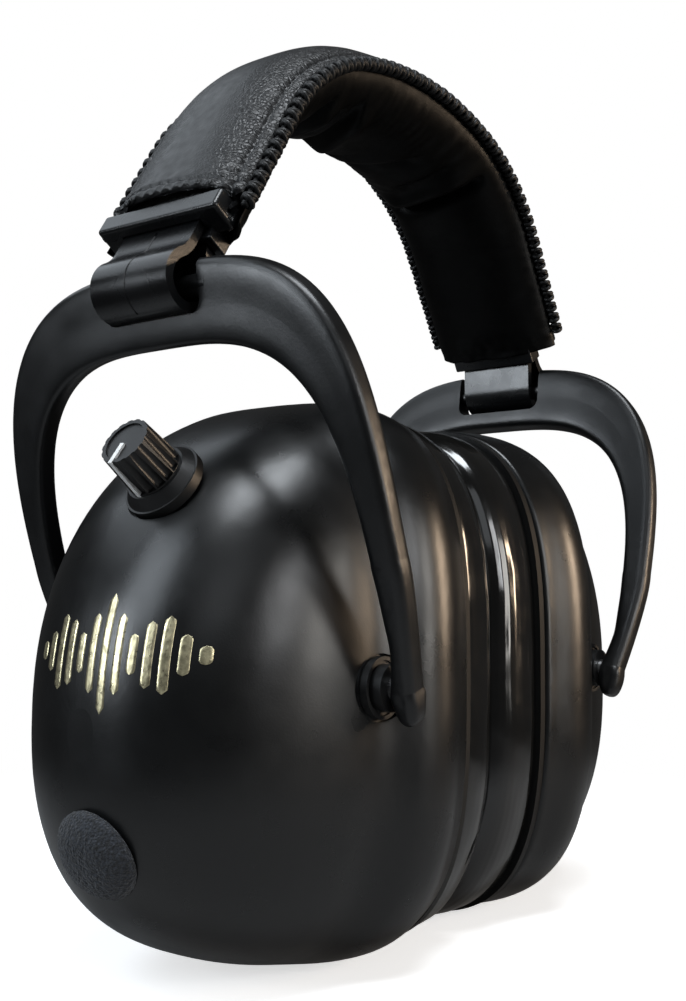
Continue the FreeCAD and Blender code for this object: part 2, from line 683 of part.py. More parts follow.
def band_place(along):
    """Point on the path and outward direction, this far from the crown; negative is the left side."""
    side = -1 if along < 0 else 1
    left = abs(along)
    crown_centre, crown_end, shoulder, tail = path_points()
    crown = CROWN_RADIUS * rad(CROWN_ANGLE)
    bend = SHOULDER_RADIUS * rad(TAIL_ANGLE - CROWN_ANGLE)
    if left <= crown:
        a = left / CROWN_RADIUS
        x, z = CROWN_RADIUS * math.sin(a), crown_centre[1] + CROWN_RADIUS * math.cos(a)
    elif left <= crown + bend:
        a = rad(CROWN_ANGLE) + (left - crown) / SHOULDER_RADIUS
        x, z = shoulder[0] + SHOULDER_RADIUS * math.sin(a), shoulder[1] + SHOULDER_RADIUS * math.cos(a)
    else:
        a = rad(TAIL_ANGLE)
        down = left - crown - bend
        x, z = tail[0] + down * math.cos(a), tail[1] - down * math.sin(a)
    return V(side * x, 0, z), V(side * math.sin(a), 0, math.cos(a))


def along_band(section, tail_length, count=21):
    """Loft along the whole band through sections; a section is given a place and a share of the way down."""
    half = band_half_length(tail_length)
    wires = []
    for i in range(count):
        along = half * (2 * i / (count - 1) - 1)
        point, outward = band_place(along)
        wires.append(section(point, outward, abs(along) / half))
    return Part.makeLoft(wires, True, False)


def closed_section(point, outward, pairs):
    """Closed smooth line through pairs of Y and height above the path."""
    curve = Part.BSplineCurve()
    curve.interpolate([point + Y_AXIS * y + outward * h for y, h in pairs], PeriodicFlag=True)
    return Part.Wire([curve.toShape()])


def crowned_pairs(height, half, sign, floor):
    """Crowned line from one edge of the band to the other."""
    pairs = []
    for i in range(-7, 8):
        y = half * math.sin(math.pi / 2 * i / 7)
        lift = (height - floor) * (1 - abs(y / half) ** 2.6) ** 0.6
        pairs.append((y, sign * (floor + lift)))
    return pairs


def skin_height(sign, share):
    """Height of the leather above or below the path: fullest at the crown, slimmer at the ends."""
    full, slim = (OUTER_RISE, OUTER_RISE_END) if sign > 0 else (INNER_DROP, INNER_DROP_END)
    return full + (slim - full) * fade(share, 0.05, 0.75)


def skin_section(sign):
    def section(point, outward, share):
        height = skin_height(sign, share)
        outer = crowned_pairs(height, BAND_HALF, sign, 0.9)
        inner = crowned_pairs(height - LEATHER, BAND_HALF - LEATHER, sign, 0.9)
        return closed_section(point, outward, outer + inner[::-1])
    return section


def padding_section(sign):
    def section(point, outward, share):
        height = skin_height(sign, share) - LEATHER - 0.35
        half = BAND_HALF - LEATHER - 0.9
        crown = crowned_pairs(height, half, sign, 1.6)
        flat = [(half * part, sign * 0.9) for part in (0.85, 0.5, 0, -0.5, -0.85)]
        return closed_section(point, outward, crown + flat)
    return section


def spring_section(point, outward, share):
    h = SPRING_THICK / 2
    corners = [(-SPRING_HALF, -h), (SPRING_HALF, -h), (SPRING_HALF, h), (-SPRING_HALF, h), (-SPRING_HALF, -h)]
    return Part.makePolygon([point + Y_AXIS * y + outward * z for y, z in corners])


def lace_section(side):
    def section(point, outward, share):
        centre = point + Y_AXIS * (side * LACE_Y)
        return Part.Wire([Part.makeCircle(LACE_RADIUS, centre, outward.cross(Y_AXIS))])
    return section


def headband_spring():
    return along_band(spring_section, LEATHER_TAIL + BLOCK_GAP + SPRING_SEAT, 41)


def head_pad():
    """Lower padding, with a slot in each tail for the hanger's tongue."""
    pad = along_band(padding_section(-1), LEATHER_TAIL)
    slot_low, slot_high = tongue_level() - LOOP_THICK / 2 - 0.5, tongue_level() + LOOP_THICK / 2 + 0.5
    cutter = tail_box(-LOOP_HALF - 1.8, LOOP_HALF + 1.8, slot_low, slot_high, -8, LEATHER_TAIL + 2)
    for tool in [cutter] + mirrored([cutter]):
        pad = pad.cut(tool)
    return pad


def headband_lacing():
    return [along_band(lace_section(side), LEATHER_TAIL) for side in (-1, 1)]


# ---------- end block and hanger loop ----------

BLOCK_TOP = LEATHER_TAIL + BLOCK_GAP
BLOCK_BOTTOM = BLOCK_TOP + BLOCK_LENGTH


def tail_box(y0, y1, out0, out1, down0, down1):
    """Box aligned with the right tail."""
    box = Part.makeBox(out1 - out0, y1 - y0, down1 - down0)
    turn = FreeCAD.Rotation(TAIL_OUT, Y_AXIS, TAIL_DOWN.negative(), "ZXY")
    box.Placement = FreeCAD.Placement(tail_point(down1, out0, y0), turn)
    return box


def tongue_level():
    """How far outward from the path the tongue's middle lies."""
    start = path_points()[3]
    corner = V(LOOP_CENTRE[0] - LOOP_RADIUS, 0, LOOP_CENTRE[1] + LOOP_CORNER)
    return (corner - V(start[0], 0, start[1])).dot(TAIL_OUT)


def turtle_strip(start, heading, moves, thickness):
    """Closed outline, in X and Z, of a bent strip: each move is a length, or a radius and a turn."""
    sides = {-1: [], 1: []}

    def at(p, angle, side):
        normal = V(-math.sin(rad(angle)), 0, math.cos(rad(angle)))
        return p + normal * (side * thickness / 2)

    p, angle = start, heading
    caps = [(at(p, angle, -1), at(p, angle, 1))]
    for move in moves:
        if len(move) == 1:
            q = p + V(math.cos(rad(angle)), 0, math.sin(rad(angle))) * move[0]
            for side in sides:
                sides[side].append(Part.makeLine(at(p, angle, side), at(q, angle, side)))
            p = q
            continue
        radius, turn = move
        left = 1 if turn > 0 else -1
        centre = p + V(-math.sin(rad(angle)), 0, math.cos(rad(angle))) * (left * radius)

        def round_point(part, side):
            a = angle + turn * part
            spoke = V(math.sin(rad(a)), 0, -math.cos(rad(a))) * left
            return centre + spoke * (radius - left * side * thickness / 2)

        for side in sides:
            ends = [round_point(part, side) for part in (0, 0.5, 1)]
            sides[side].append(Part.Arc(*ends).toShape())
        spoke = V(math.sin(rad(angle + turn)), 0, -math.cos(rad(angle + turn))) * left
        p = centre + spoke * radius
        angle += turn
    caps.append((at(p, angle, -1), at(p, angle, 1)))
    edges = sides[-1] + sides[1] + [Part.makeLine(a, b) for a, b in caps]
    return Part.Face(Part.Wire(Part.__sortEdges__(edges)))


def hanger_loop():
    """Strip that hooks the yoke's crossbar: tongue, inner leg, curl and outer leg in one piece."""
    level = tongue_level()
    start = tail_point(BLOCK_BOTTOM - TONGUE_LENGTH, level)
    down_angle = -TAIL_ANGLE
    bend = 90 - TAIL_ANGLE
    leg_x = LOOP_CENTRE[0] - LOOP_RADIUS
    setback = LOOP_BEND * math.tan(rad(bend / 2))
    straight = (leg_x - start.x) / TAIL_DOWN.x - setback
    bend_low = start.z + TAIL_DOWN.z * (straight + setback) - setback
    moves = [
        (straight,),
        (LOOP_BEND, -bend),
        (bend_low - LOOP_CENTRE[1],),
        (LOOP_RADIUS, 180 + LOOP_WRAP),
        (LOOP_SWEEP, -(90 + LOOP_WRAP - (180 - TAIL_ANGLE))),
        (outer_leg_length(),),
    ]
    face = turtle_strip(start, down_angle, moves, LOOP_THICK)
    strip = face.extrude(V(0, 2 * LOOP_HALF, 0))
    strip.translate(V(0, -LOOP_HALF, 0))
    stop = tail_box(-LOOP_HALF - 1.2, LOOP_HALF + 1.2, level - LOOP_THICK / 2, level + LOOP_THICK / 2,
                    BLOCK_BOTTOM - TONGUE_LENGTH, BLOCK_BOTTOM - TONGUE_LENGTH + 2.5)
    return strip.fuse(stop).removeSplitter()


def outer_leg_start():
    """Where the reverse curve ends and the outer leg runs straight up into the block."""
    a = rad(LOOP_WRAP)
    top = V(LOOP_CENTRE[0] + LOOP_RADIUS * math.cos(a), 0, LOOP_CENTRE[1] + LOOP_RADIUS * math.sin(a))
    first, last = rad(90 + LOOP_WRAP), rad(180 - TAIL_ANGLE)
    dx = LOOP_SWEEP * (math.sin(first) - math.sin(last))
    dz = LOOP_SWEEP * (math.cos(last) - math.cos(first))
    return top + V(dx, 0, dz)


def outer_leg_length():
    start = path_points()[3]
    down = (outer_leg_start() - V(start[0], 0, start[1])).dot(TAIL_DOWN)
    return down - (BLOCK_BOTTOM - OUTER_LEG_IN_BLOCK)


def outer_leg_level():
    start = path_points()[3]
    return (outer_leg_start() - V(start[0], 0, start[1])).dot(TAIL_OUT)


def end_block():
    """Block on the band's end: a body with a slot for the tongue, and a broad lip over the outer leg."""
    leg = outer_leg_level()
    tongue = tongue_level()
    half = LOOP_HALF + SLOT_GAP
    thick = LOOP_THICK / 2 + SLOT_GAP
    lip_end = BLOCK_BOTTOM - LIP_START
    body = tail_box(-BODY_HALF, BODY_HALF, BLOCK_INNER, leg - thick, BLOCK_TOP, BLOCK_BOTTOM)
    lip = tail_box(-BLOCK_HALF, BLOCK_HALF, LIP_INNER, BLOCK_OUTER, BLOCK_TOP, lip_end)
    lip = smooth_edges(lip, LIP_EDGE, lambda e: True)
    shape = smooth_edges(body, BODY_EDGE, lambda e: True).fuse(lip)
    shape = shape.cut(tail_box(-half, half, tongue - thick, tongue + thick, BLOCK_TOP - 1, BLOCK_BOTTOM + 1))
    lead = thick + SLOT_LEAD
    shape = shape.cut(tail_box(-half, half, tongue - lead, tongue + lead,
                               BLOCK_BOTTOM - LEAD_DEPTH, BLOCK_BOTTOM + 1))
    leg_top = BLOCK_BOTTOM - OUTER_LEG_IN_BLOCK - SLOT_GAP
    shape = shape.cut(tail_box(-half, half, leg - thick, leg + thick, leg_top, BLOCK_BOTTOM + 1))
    seat = SPRING_THICK / 2 + 0.1
    shape = shape.cut(tail_box(-SPRING_HALF - 0.1, SPRING_HALF + 0.1, -seat, seat,
                               BLOCK_TOP - 1, BLOCK_TOP + SPRING_SEAT + 0.2))
    for side in (-1, 1):
        y0, y1 = sorted((side * RIVET_Y, side * (BLOCK_HALF + 1)))
        shape = shape.cut(tail_box(y0, y1, -SIDE_SLOT, SIDE_SLOT, BLOCK_TOP - 1, lip_end - SIDE_SLOT))
    for rivet in rivet_rods(RIVET_RADIUS + 0.05):
        shape = shape.cut(rivet)
    return shape


def rivet_rods(radius):
    """Rivets through the ends of the lip, bare where the side slots cross them."""
    base_level = LIP_INNER - RIVET_STAND
    length = BLOCK_OUTER - base_level - RIVET_SUNK
    return [rod(tail_point(BLOCK_TOP + RIVET_DOWN, base_level, side * RIVET_Y), TAIL_OUT, radius, length)
            for side in (-1, 1)]


def block_rivets():
    heads = []
    for side, shank in zip((-1, 1), rivet_rods(RIVET_RADIUS)):
        base = tail_point(BLOCK_TOP + RIVET_DOWN, LIP_INNER - RIVET_STAND, side * RIVET_Y)
        heads.append(shank.fuse(rod(base, TAIL_OUT, RIVET_HEAD_RADIUS, RIVET_STAND - 0.05)))
    return heads


def build():
    os.makedirs("parts", exist_ok=True)
    pairs = {
        "cup_shell": [cup_shell()],
        "seal_plate": [seal_plate()],
        "plate_screws": plate_screws(),
        "shell_gasket": [shell_gasket()],
        "ear_cushion": [ear_cushion()],
        "ear_scrim": [ear_scrim()],
        "acoustic_liner": [acoustic_liner()],
        "speaker": [speaker()],
        "battery_holder": [battery_holder()],
        "battery": [battery()],
        "battery_contacts": battery_contacts(),
        "circuit_board": [circuit_board()],
        "volume_pot": [volume_pot()],
        "pot_nut": [pot_nut()],
        "pot_shaft": [pot_shaft()],
        "volume_knob": [volume_knob()],
        "knob_pointer": [knob_pointer()],
        "mic_capsule": [mic_capsule()],
        "mic_windscreen": [mic_windscreen()],
        "yoke": [yoke()],
        "pivot_washers": pivot_washers(),
        "pivot_pins": pivot_pins(),
        "hanger_loop": [hanger_loop()],
        "end_block": [end_block()],
        "block_rivets": block_rivets(),
    }
    for name, shapes in pairs.items():
        in_pair(name, shapes)
    save("headband_spring", [headband_spring()])
    save("top_padding", [along_band(padding_section(1), LEATHER_TAIL)])
    save("head_pad", [head_pad()])
    save("headband_cover_outer", [along_band(skin_section(1), LEATHER_TAIL)])
    save("headband_cover_inner", [along_band(skin_section(-1), LEATHER_TAIL)])
    save("headband_lacing", headband_lacing())


build()
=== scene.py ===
import json
import math

import bmesh
import bpy
from mathutils import Matrix, Vector, noise
from mathutils.bvhtree import BVHTree


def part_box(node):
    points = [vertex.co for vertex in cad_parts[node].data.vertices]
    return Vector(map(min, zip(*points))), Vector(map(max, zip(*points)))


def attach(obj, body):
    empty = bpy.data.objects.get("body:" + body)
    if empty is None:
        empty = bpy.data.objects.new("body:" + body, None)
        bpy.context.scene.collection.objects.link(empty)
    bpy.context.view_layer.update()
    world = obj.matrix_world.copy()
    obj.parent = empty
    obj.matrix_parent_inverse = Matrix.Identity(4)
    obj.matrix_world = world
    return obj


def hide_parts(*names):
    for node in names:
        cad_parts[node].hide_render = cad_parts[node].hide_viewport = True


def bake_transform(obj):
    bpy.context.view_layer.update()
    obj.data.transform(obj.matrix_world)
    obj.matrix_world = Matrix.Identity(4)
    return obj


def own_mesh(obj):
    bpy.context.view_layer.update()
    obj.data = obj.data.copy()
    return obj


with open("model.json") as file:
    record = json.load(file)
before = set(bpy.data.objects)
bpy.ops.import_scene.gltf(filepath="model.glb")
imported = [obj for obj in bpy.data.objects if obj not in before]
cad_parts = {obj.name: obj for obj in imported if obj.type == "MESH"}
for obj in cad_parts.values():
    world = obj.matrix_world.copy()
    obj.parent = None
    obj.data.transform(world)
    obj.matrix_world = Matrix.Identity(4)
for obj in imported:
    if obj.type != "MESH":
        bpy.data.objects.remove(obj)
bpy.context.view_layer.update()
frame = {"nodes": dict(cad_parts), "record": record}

# Looks of an earmuff hearing protector. Metres; +X is the right cup, -Y the front, +Z up.

MM = 0.001
SIDES = {"left": -1, "right": 1}
NODES = frame["nodes"]

# The headband's path: crown arc, shoulder arcs and straight tails, at the level of the edge lacing.
LACE_RADIUS = 1.45 * MM
LACE_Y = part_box("headband_lacing")[1].y - LACE_RADIUS
CROWN_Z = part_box("headband_lacing")[1].z - LACE_RADIUS
CROWN_RADIUS = 85 * MM
CROWN_ANGLE = math.radians(17)
SHOULDER_RADIUS = 45 * MM
TAIL_ANGLE = math.radians(58)
LEATHER_TAIL = 24.5 * MM
CROWN_LENGTH = CROWN_RADIUS * CROWN_ANGLE
SHOULDER_LENGTH = SHOULDER_RADIUS * (TAIL_ANGLE - CROWN_ANGLE)
BAND_LENGTH = CROWN_LENGTH + SHOULDER_LENGTH + LEATHER_TAIL
PANEL_HALF = 17.3 * MM
LEATHER = 1.2 * MM
OUTER_RISE = (7.5 * MM, 5.9 * MM)     # leather above the path, at the crown and at the ends
INNER_DROP = (11.0 * MM, 7.6 * MM)    # leather below the path
SEAM_Y = 14.6 * MM
BEAD_PITCH = 2.9 * MM
HEM = 3.3 * MM
INNER_FLAP = 4.6 * MM                 # the inner leather hangs this far past the outer
SEAM_LEVEL = 2.0 * MM                 # outer leather at the sunken seam, above the path
OUTER_EDGE = 0.8 * MM
INNER_EDGE = 0.9 * MM
HEM_PITCH = 2.5 * MM
RING_STEP = 0.42 * MM                 # distance between rows of points along the leather
SPRING_HALF = 8.0 * MM
SPRING_THICK = 1.0 * MM
LACE_STRAND = 0.56 * MM
KNOT_RADIUS = 1.02 * MM
THREAD_RADIUS = 0.17 * MM

# Ear cushions and small parts on the cups.
CUSHION_POWER = 3.0                   # squareness of the ovals
OPENING_POWER = 2.4
OPENING_HALF = (19.5 * MM, 32.5 * MM)
SLIT_Z = 20.5 * MM
SLIT_X = 6.6 * MM
SLIT_HALF = 4.2 * MM
MARK_DROP = 50.5 * MM                 # middle of the foil mark below the shell's top
MARK_HALF = 17.0 * MM
MARK_Y = -4.5 * MM
MARK_BARS = 13
BAR_HALF = 0.85 * MM
FOIL = 0.10 * MM
FOAM_TILT = math.radians(-24)
FOAM_RADIUS = 8.5 * MM
FOAM_TALL = 3.4 * MM
FOAM_SEAT = (81.0 * MM, 26.8 * MM)
MOULD_LINE = 0.13 * MM
MOULD_LINE_Y = 0.7 * MM


# ---------- helpers for meshes ----------

def fade(x, low, high):
    """Smooth step from 0 at low to 1 at high."""
    t = min(1.0, max(0.0, (x - low) / (high - low)))
    return t * t * (3 - 2 * t)


def hump(x, width):
    """Bell curve of height 1 at 0."""
    return math.exp(-(x / width) ** 2)


def rough(point, size):
    """Smooth noise from about -1 to 1 with features of a given size."""
    return noise.noise(point / size)


def net(rows, close_rows=False, close_columns=False, first_index=0):
    """Quads over a net of points; it may close on itself either way."""
    high, wide = len(rows), len(rows[0])
    faces = []
    for i in range(high if close_rows else high - 1):
        for j in range(wide if close_columns else wide - 1):
            a, b = i * wide, ((i + 1) % high) * wide
            k = (j + 1) % wide
            faces.append([first_index + n for n in (a + j, a + k, b + k, b + j)])
    return faces


class Build:
    """Collects points and faces for one piece."""

    def __init__(self):
        self.points = []
        self.faces = []

    def add(self, rows, close_rows=False, close_columns=False, cap_first=False, cap_last=False):
        first = len(self.points)
        self.faces += net(rows, close_rows, close_columns, first)
        wide = len(rows[0])
        if cap_first:
            self.faces.append([first + j for j in range(wide)])
        if cap_last:
            self.faces.append([first + (len(rows) - 1) * wide + j for j in range(wide)])
        self.points += [p for row in rows for p in row]

    def tube(self, line, radius, sides=8, closed=False):
        """A round tube along points; radius is a number or a function of the share along."""
        rows = []
        count = len(line)
        for i, p in enumerate(line):
            before = line[i - 1] if i > 0 or closed else p
            after = line[(i + 1) % count] if i < count - 1 or closed else p
            along = (after - before).normalized()
            side = (last - along * last.dot(along)).normalized() if rows else along.orthogonal().normalized()
            last = side
            up = along.cross(side)
            r = radius(i / (count - 1)) if callable(radius) else radius
            turn = [2 * math.pi * k / sides for k in range(sides)]
            rows.append([p + (side * math.cos(a) + up * math.sin(a)) * r for a in turn])
        self.add(rows, close_rows=closed, close_columns=True, cap_first=not closed, cap_last=not closed)

    def piece(self, name, finish, slot=None, uv=None):
        mesh = bpy.data.meshes.new(name)
        mesh.from_pydata([tuple(p) for p in self.points], [], self.faces)
        work = bmesh.new()
        work.from_mesh(mesh)
        bmesh.ops.recalc_face_normals(work, faces=work.faces)
        work.to_mesh(mesh)
        work.free()
        mesh.polygons.foreach_set("use_smooth", [True] * len(mesh.polygons))
        if uv:
            layer = mesh.uv_layers.new(name="UVMap")
            for loop in mesh.loops:
                layer.data[loop.index].uv = uv[loop.vertex_index]
        made = bpy.data.objects.new(name, mesh)
        bpy.context.scene.collection.objects.link(made)
        mesh.materials.append(finish)
        return made


# ---------- materials ----------

class Shade:
    """A principled material with short ways to add noise, colour variation and bump."""

    def __init__(self, name, colour, roughness, **sockets):
        self.material = bpy.data.materials.new(name)
        self.material.use_nodes = True
        self.tree = self.material.node_tree
        self.shader = self.tree.nodes["Principled BSDF"]
        self.colour = colour
        self.shader.inputs["Base Color"].default_value = (*colour, 1)
        self.shader.inputs["Roughness"].default_value = roughness
        for socket, value in sockets.items():
            self.shader.inputs[socket.replace("_", " ")].default_value = value
        self.coordinates = self.node("ShaderNodeTexCoord").outputs["Object"]
        self.normal = None

    def node(self, kind, **settings):
        made = self.tree.nodes.new(kind)
        for key, value in settings.items():
            setattr(made, key, value)
        return made

    def link(self, a, b):
        self.tree.links.new(a, b)

    def use_uv(self):
        self.coordinates = self.tree.nodes["Texture Coordinate"].outputs["UV"]
        return self

    def stretched(self, scale):
        mapping = self.node("ShaderNodeMapping")
        mapping.inputs["Scale"].default_value = scale
        self.link(self.coordinates, mapping.inputs["Vector"])
        return mapping.outputs["Vector"]

    def noise(self, size, detail=4, vector=None):
        made = self.node("ShaderNodeTexNoise")
        made.inputs["Scale"].default_value = 1 / size
        made.inputs["Detail"].default_value = detail
        self.link(vector or self.coordinates, made.inputs["Vector"])
        return made.outputs["Fac"]

    def cells(self, size, feature="F1", vector=None, jitter=1.0):
        made = self.node("ShaderNodeTexVoronoi", feature=feature)
        made.inputs["Scale"].default_value = 1 / size
        made.inputs["Randomness"].default_value = jitter
        self.link(vector or self.coordinates, made.inputs["Vector"])
        return made.outputs["Distance"]

    def spread(self, value, low, high, to_low, to_high):
        made = self.node("ShaderNodeMapRange")
        limits = {"From Min": low, "From Max": high, "To Min": to_low, "To Max": to_high}
        for socket, number in limits.items():
            made.inputs[socket].default_value = number
        self.link(value, made.inputs["Value"])
        return made.outputs["Result"]

    def tint(self, value, darker, lighter, low=0.3, high=0.7):
        """Vary the colour between two multiples of itself, following a texture."""
        ramp = self.node("ShaderNodeValToRGB")
        ramp.color_ramp.elements[0].position = low
        ramp.color_ramp.elements[1].position = high
        ramp.color_ramp.elements[0].color = (*[c * darker for c in self.colour], 1)
        ramp.color_ramp.elements[1].color = (*[c * lighter for c in self.colour], 1)
        self.link(value, ramp.inputs["Fac"])
        self.link(ramp.outputs["Color"], self.shader.inputs["Base Color"])
        return self

    def gloss(self, value, low, high):
        self.link(self.spread(value, 0.3, 0.7, low, high), self.shader.inputs["Roughness"])
        return self

    def bump(self, value, depth, strength=1.0):
        made = self.node("ShaderNodeBump")
        made.inputs["Distance"].default_value = depth
        made.inputs["Strength"].default_value = strength
        self.link(value, made.inputs["Height"])
        if self.normal:
            self.link(self.normal, made.inputs["Normal"])
        self.normal = made.outputs["Normal"]
        self.link(self.normal, self.shader.inputs["Normal"])
        return self

    def times(self, a, b):
        made = self.node("ShaderNodeMath", operation="MULTIPLY")
        self.link(a, made.inputs[0])
        self.link(b, made.inputs[1])
        return made.outputs["Value"]


def moulded_plastic(name, colour, low, high, grain=0.35 * MM, depth=0.012 * MM):
    """Satin moulded plastic: fine spark-eroded texture, faint handling marks and cloudy gloss."""
    s = Shade(name, colour, (low + high) / 2, Specular_IOR_Level=0.5)
    s.tint(s.noise(22 * MM, 5), 0.82, 1.25)
    s.gloss(s.noise(9 * MM, 6), low, high)
    s.bump(s.noise(grain, 3), depth)
    s.bump(s.noise(6 * MM, 2), 0.03 * MM, 0.35)
    return s.material


def shell_plastic():
    return moulded_plastic("shell plastic", (0.0030, 0.0032, 0.0034), 0.26, 0.34)


def yoke_plastic():
    return moulded_plastic("yoke plastic", (0.0030, 0.0032, 0.0035), 0.30, 0.40, 0.5 * MM, 0.016 * MM)


def hanger_plastic():
    return moulded_plastic("hanger plastic", (0.0030, 0.0032, 0.0036), 0.22, 0.31, 0.6 * MM, 0.02 * MM)


def block_plastic():
    return moulded_plastic("block plastic", (0.0040, 0.0043, 0.0048), 0.24, 0.32, 0.5 * MM, 0.02 * MM)


def knob_plastic():
    return moulded_plastic("knob plastic", (0.0020, 0.0020, 0.0022), 0.36, 0.48, 0.3 * MM, 0.012 * MM)


def inner_plastic():
    return moulded_plastic("inner plastic", (0.02, 0.02, 0.021), 0.45, 0.6)


def washer_plastic():
    return moulded_plastic("washer plastic", (0.0035, 0.0035, 0.0035), 0.40, 0.55)


def pointer_paint():
    s = Shade("pointer paint", (0.82, 0.82, 0.8), 0.5)
    s.tint(s.noise(0.8 * MM, 4), 0.8, 1.05)
    s.bump(s.noise(0.5 * MM, 3), 0.02 * MM)
    return s.material


def outer_leather():
    """Satin leather: close pebble grain that is coarser towards the laced edges."""
    s = Shade("outer leather", (0.0060, 0.0062, 0.0067), 0.4, Specular_IOR_Level=0.45).use_uv()
    s.tint(s.noise(7 * MM, 5), 0.75, 1.3)
    s.gloss(s.noise(2.2 * MM, 5), 0.36, 0.50)
    across = s.node("ShaderNodeSeparateXYZ")
    s.link(s.coordinates, across.inputs["Vector"])
    off_middle = s.node("ShaderNodeMath", operation="ABSOLUTE")
    s.link(across.outputs["Y"], off_middle.inputs[0])
    at_edge = s.spread(off_middle.outputs["Value"], 3.5 * MM, 10 * MM, 0.06, 1.0)
    pebble = s.spread(s.cells(0.85 * MM, "DISTANCE_TO_EDGE"), 0.0, 0.22, 0.0, 1.0)
    s.bump(s.times(pebble, at_edge), 0.10 * MM, 0.9)
    s.bump(s.noise(0.4 * MM, 4), 0.03 * MM, 0.5)
    return s.material


def inner_leather():
    """Smooth leather with fine wrinkles across the band."""
    s = Shade("inner leather", (0.0016, 0.0016, 0.0016), 0.4, Specular_IOR_Level=0.12).use_uv()
    s.tint(s.noise(9 * MM, 5), 0.75, 1.3)
    s.gloss(s.noise(3 * MM, 5), 0.34, 0.48)
    s.bump(s.noise(1.6 * MM, 5, s.stretched((1.0, 0.25, 1.0))), 0.10 * MM, 0.6)
    s.bump(s.cells(0.5 * MM, "DISTANCE_TO_EDGE"), 0.03 * MM, 0.5)
    return s.material


def lace_leather():
    """Round waxed lacing: faint twist and a dry, uneven gloss."""
    s = Shade("lace leather", (0.0030, 0.0031, 0.0033), 0.46, Specular_IOR_Level=0.35)
    s.tint(s.noise(1.2 * MM, 4), 0.55, 1.5)
    s.gloss(s.noise(1 * MM, 4), 0.38, 0.60)
    s.bump(s.noise(0.28 * MM, 4), 0.05 * MM, 0.8)
    return s.material


def thread():
    s = Shade("thread", (0.010, 0.011, 0.013), 0.5)
    s.tint(s.noise(0.5 * MM, 3), 0.6, 1.5)
    s.bump(s.noise(0.15 * MM, 3), 0.04 * MM)
    return s.material


def seal_vinyl():
    """Glossy vinyl skin over soft foam: wet-looking, with faint stretch ripples."""
    s = Shade("seal vinyl", (0.0050, 0.0049, 0.0047), 0.14, Specular_IOR_Level=0.62,
              Coat_Weight=0.35, Coat_Roughness=0.08)
    s.tint(s.noise(14 * MM, 4), 0.8, 1.25)
    s.gloss(s.noise(6 * MM, 5), 0.10, 0.19)
    s.bump(s.noise(4.5 * MM, 3, s.stretched((1.6, 1.0, 0.5))), 0.10 * MM, 0.35)
    s.bump(s.noise(0.5 * MM, 3), 0.006 * MM, 0.5)
    return s.material


def gasket_rubber():
    s = Shade("gasket rubber", (0.0016, 0.0016, 0.0016), 0.5, Specular_IOR_Level=0.3)
    s.tint(s.noise(3 * MM, 4), 0.7, 1.4)
    s.bump(s.noise(0.4 * MM, 4), 0.03 * MM)
    return s.material


def open_foam(name, colour, cell=0.75 * MM):
    """Open-cell foam: painted shade darkens the pits between the brighter struts."""
    s = Shade(name, colour, 0.95, Sheen_Weight=0.12, Sheen_Roughness=0.6)
    # Painted shade: the colour darkens towards the pits between the cells.
    s.tint(s.cells(cell, "F1"), 1.5, 0.35, 0.1, 0.75)
    s.bump(s.cells(cell * 0.8, "F1"), -0.35 * MM, 0.8)
    s.bump(s.noise(0.4 * MM, 5), 0.15 * MM)
    return s.material


def knit(name, colour):
    s = Shade(name, colour, 0.85, Sheen_Weight=0.2)
    weave = s.node("ShaderNodeTexWave", wave_type="BANDS", bands_direction="DIAGONAL")
    weave.inputs["Scale"].default_value = 1 / (3.0 * MM)
    weave.inputs["Distortion"].default_value = 1.2
    s.link(s.coordinates, weave.inputs["Vector"])
    s.tint(weave.outputs["Fac"], 0.6, 1.4, 0.2, 0.8)
    s.bump(weave.outputs["Fac"], 0.12 * MM)
    s.bump(s.cells(0.6 * MM), 0.08 * MM)
    return s.material


def metal(name, colour, low, high):
    """Plated metal with fine drawn scratches and duller patches."""
    s = Shade(name, colour, low, Metallic=1.0)
    s.tint(s.noise(3 * MM, 4), 0.8, 1.1)
    s.gloss(s.noise(1.5 * MM, 5, s.stretched((1, 1, 8))), low, high)
    s.bump(s.noise(0.3 * MM, 3, s.stretched((1, 1, 12))), 0.008 * MM)
    return s.material


def board_laminate():
    """Green lacquered board with a pattern of tracks under the lacquer."""
    s = Shade("board laminate", (0.02, 0.11, 0.05), 0.3, Coat_Weight=0.4)
    tracks = s.node("ShaderNodeTexBrick")
    tracks.inputs["Scale"].default_value = 180
    tracks.inputs["Mortar Size"].default_value = 0.03
    s.link(s.coordinates, tracks.inputs["Vector"])
    s.tint(tracks.outputs["Fac"], 0.8, 1.9)
    s.bump(tracks.outputs["Fac"], 0.02 * MM)
    return s.material


def gold_foil():
    """Hot-stamped gold: bright, a little rubbed, following the plastic's texture."""
    s = Shade("gold foil", (0.62, 0.56, 0.36), 0.3, Metallic=0.9)
    s.tint(s.noise(1.3 * MM, 6), 0.55, 1.25)
    s.gloss(s.noise(0.8 * MM, 5), 0.24, 0.44)
    s.bump(s.noise(0.35 * MM, 3), 0.02 * MM)
    return s.material


def floor_paint():
    """White floor that fades out into the white surroundings a hand's breadth from the object."""
    s = Shade("floor paint", (0.9, 0.9, 0.9), 0.7, Specular_IOR_Level=0.1)
    s.tint(s.noise(0.3, 2), 0.99, 1.01)
    reach = s.node("ShaderNodeVectorMath", operation="LENGTH")
    s.link(s.coordinates, reach.inputs[0])
    seen = s.node("ShaderNodeLightPath").outputs["Is Camera Ray"]
    near = s.spread(reach.outputs["Value"], 0.12, 0.26, 1.0, 0.0)
    s.link(s.times(near, s.spread(seen, 0.0, 1.0, 0.35, 1.0)), s.shader.inputs["Alpha"])
    s.shader.inputs["Emission Color"].default_value = (1, 1, 1, 1)
    s.link(s.spread(seen, 0.0, 1.0, 0.0, 0.62), s.shader.inputs["Emission Strength"])
    return s.material


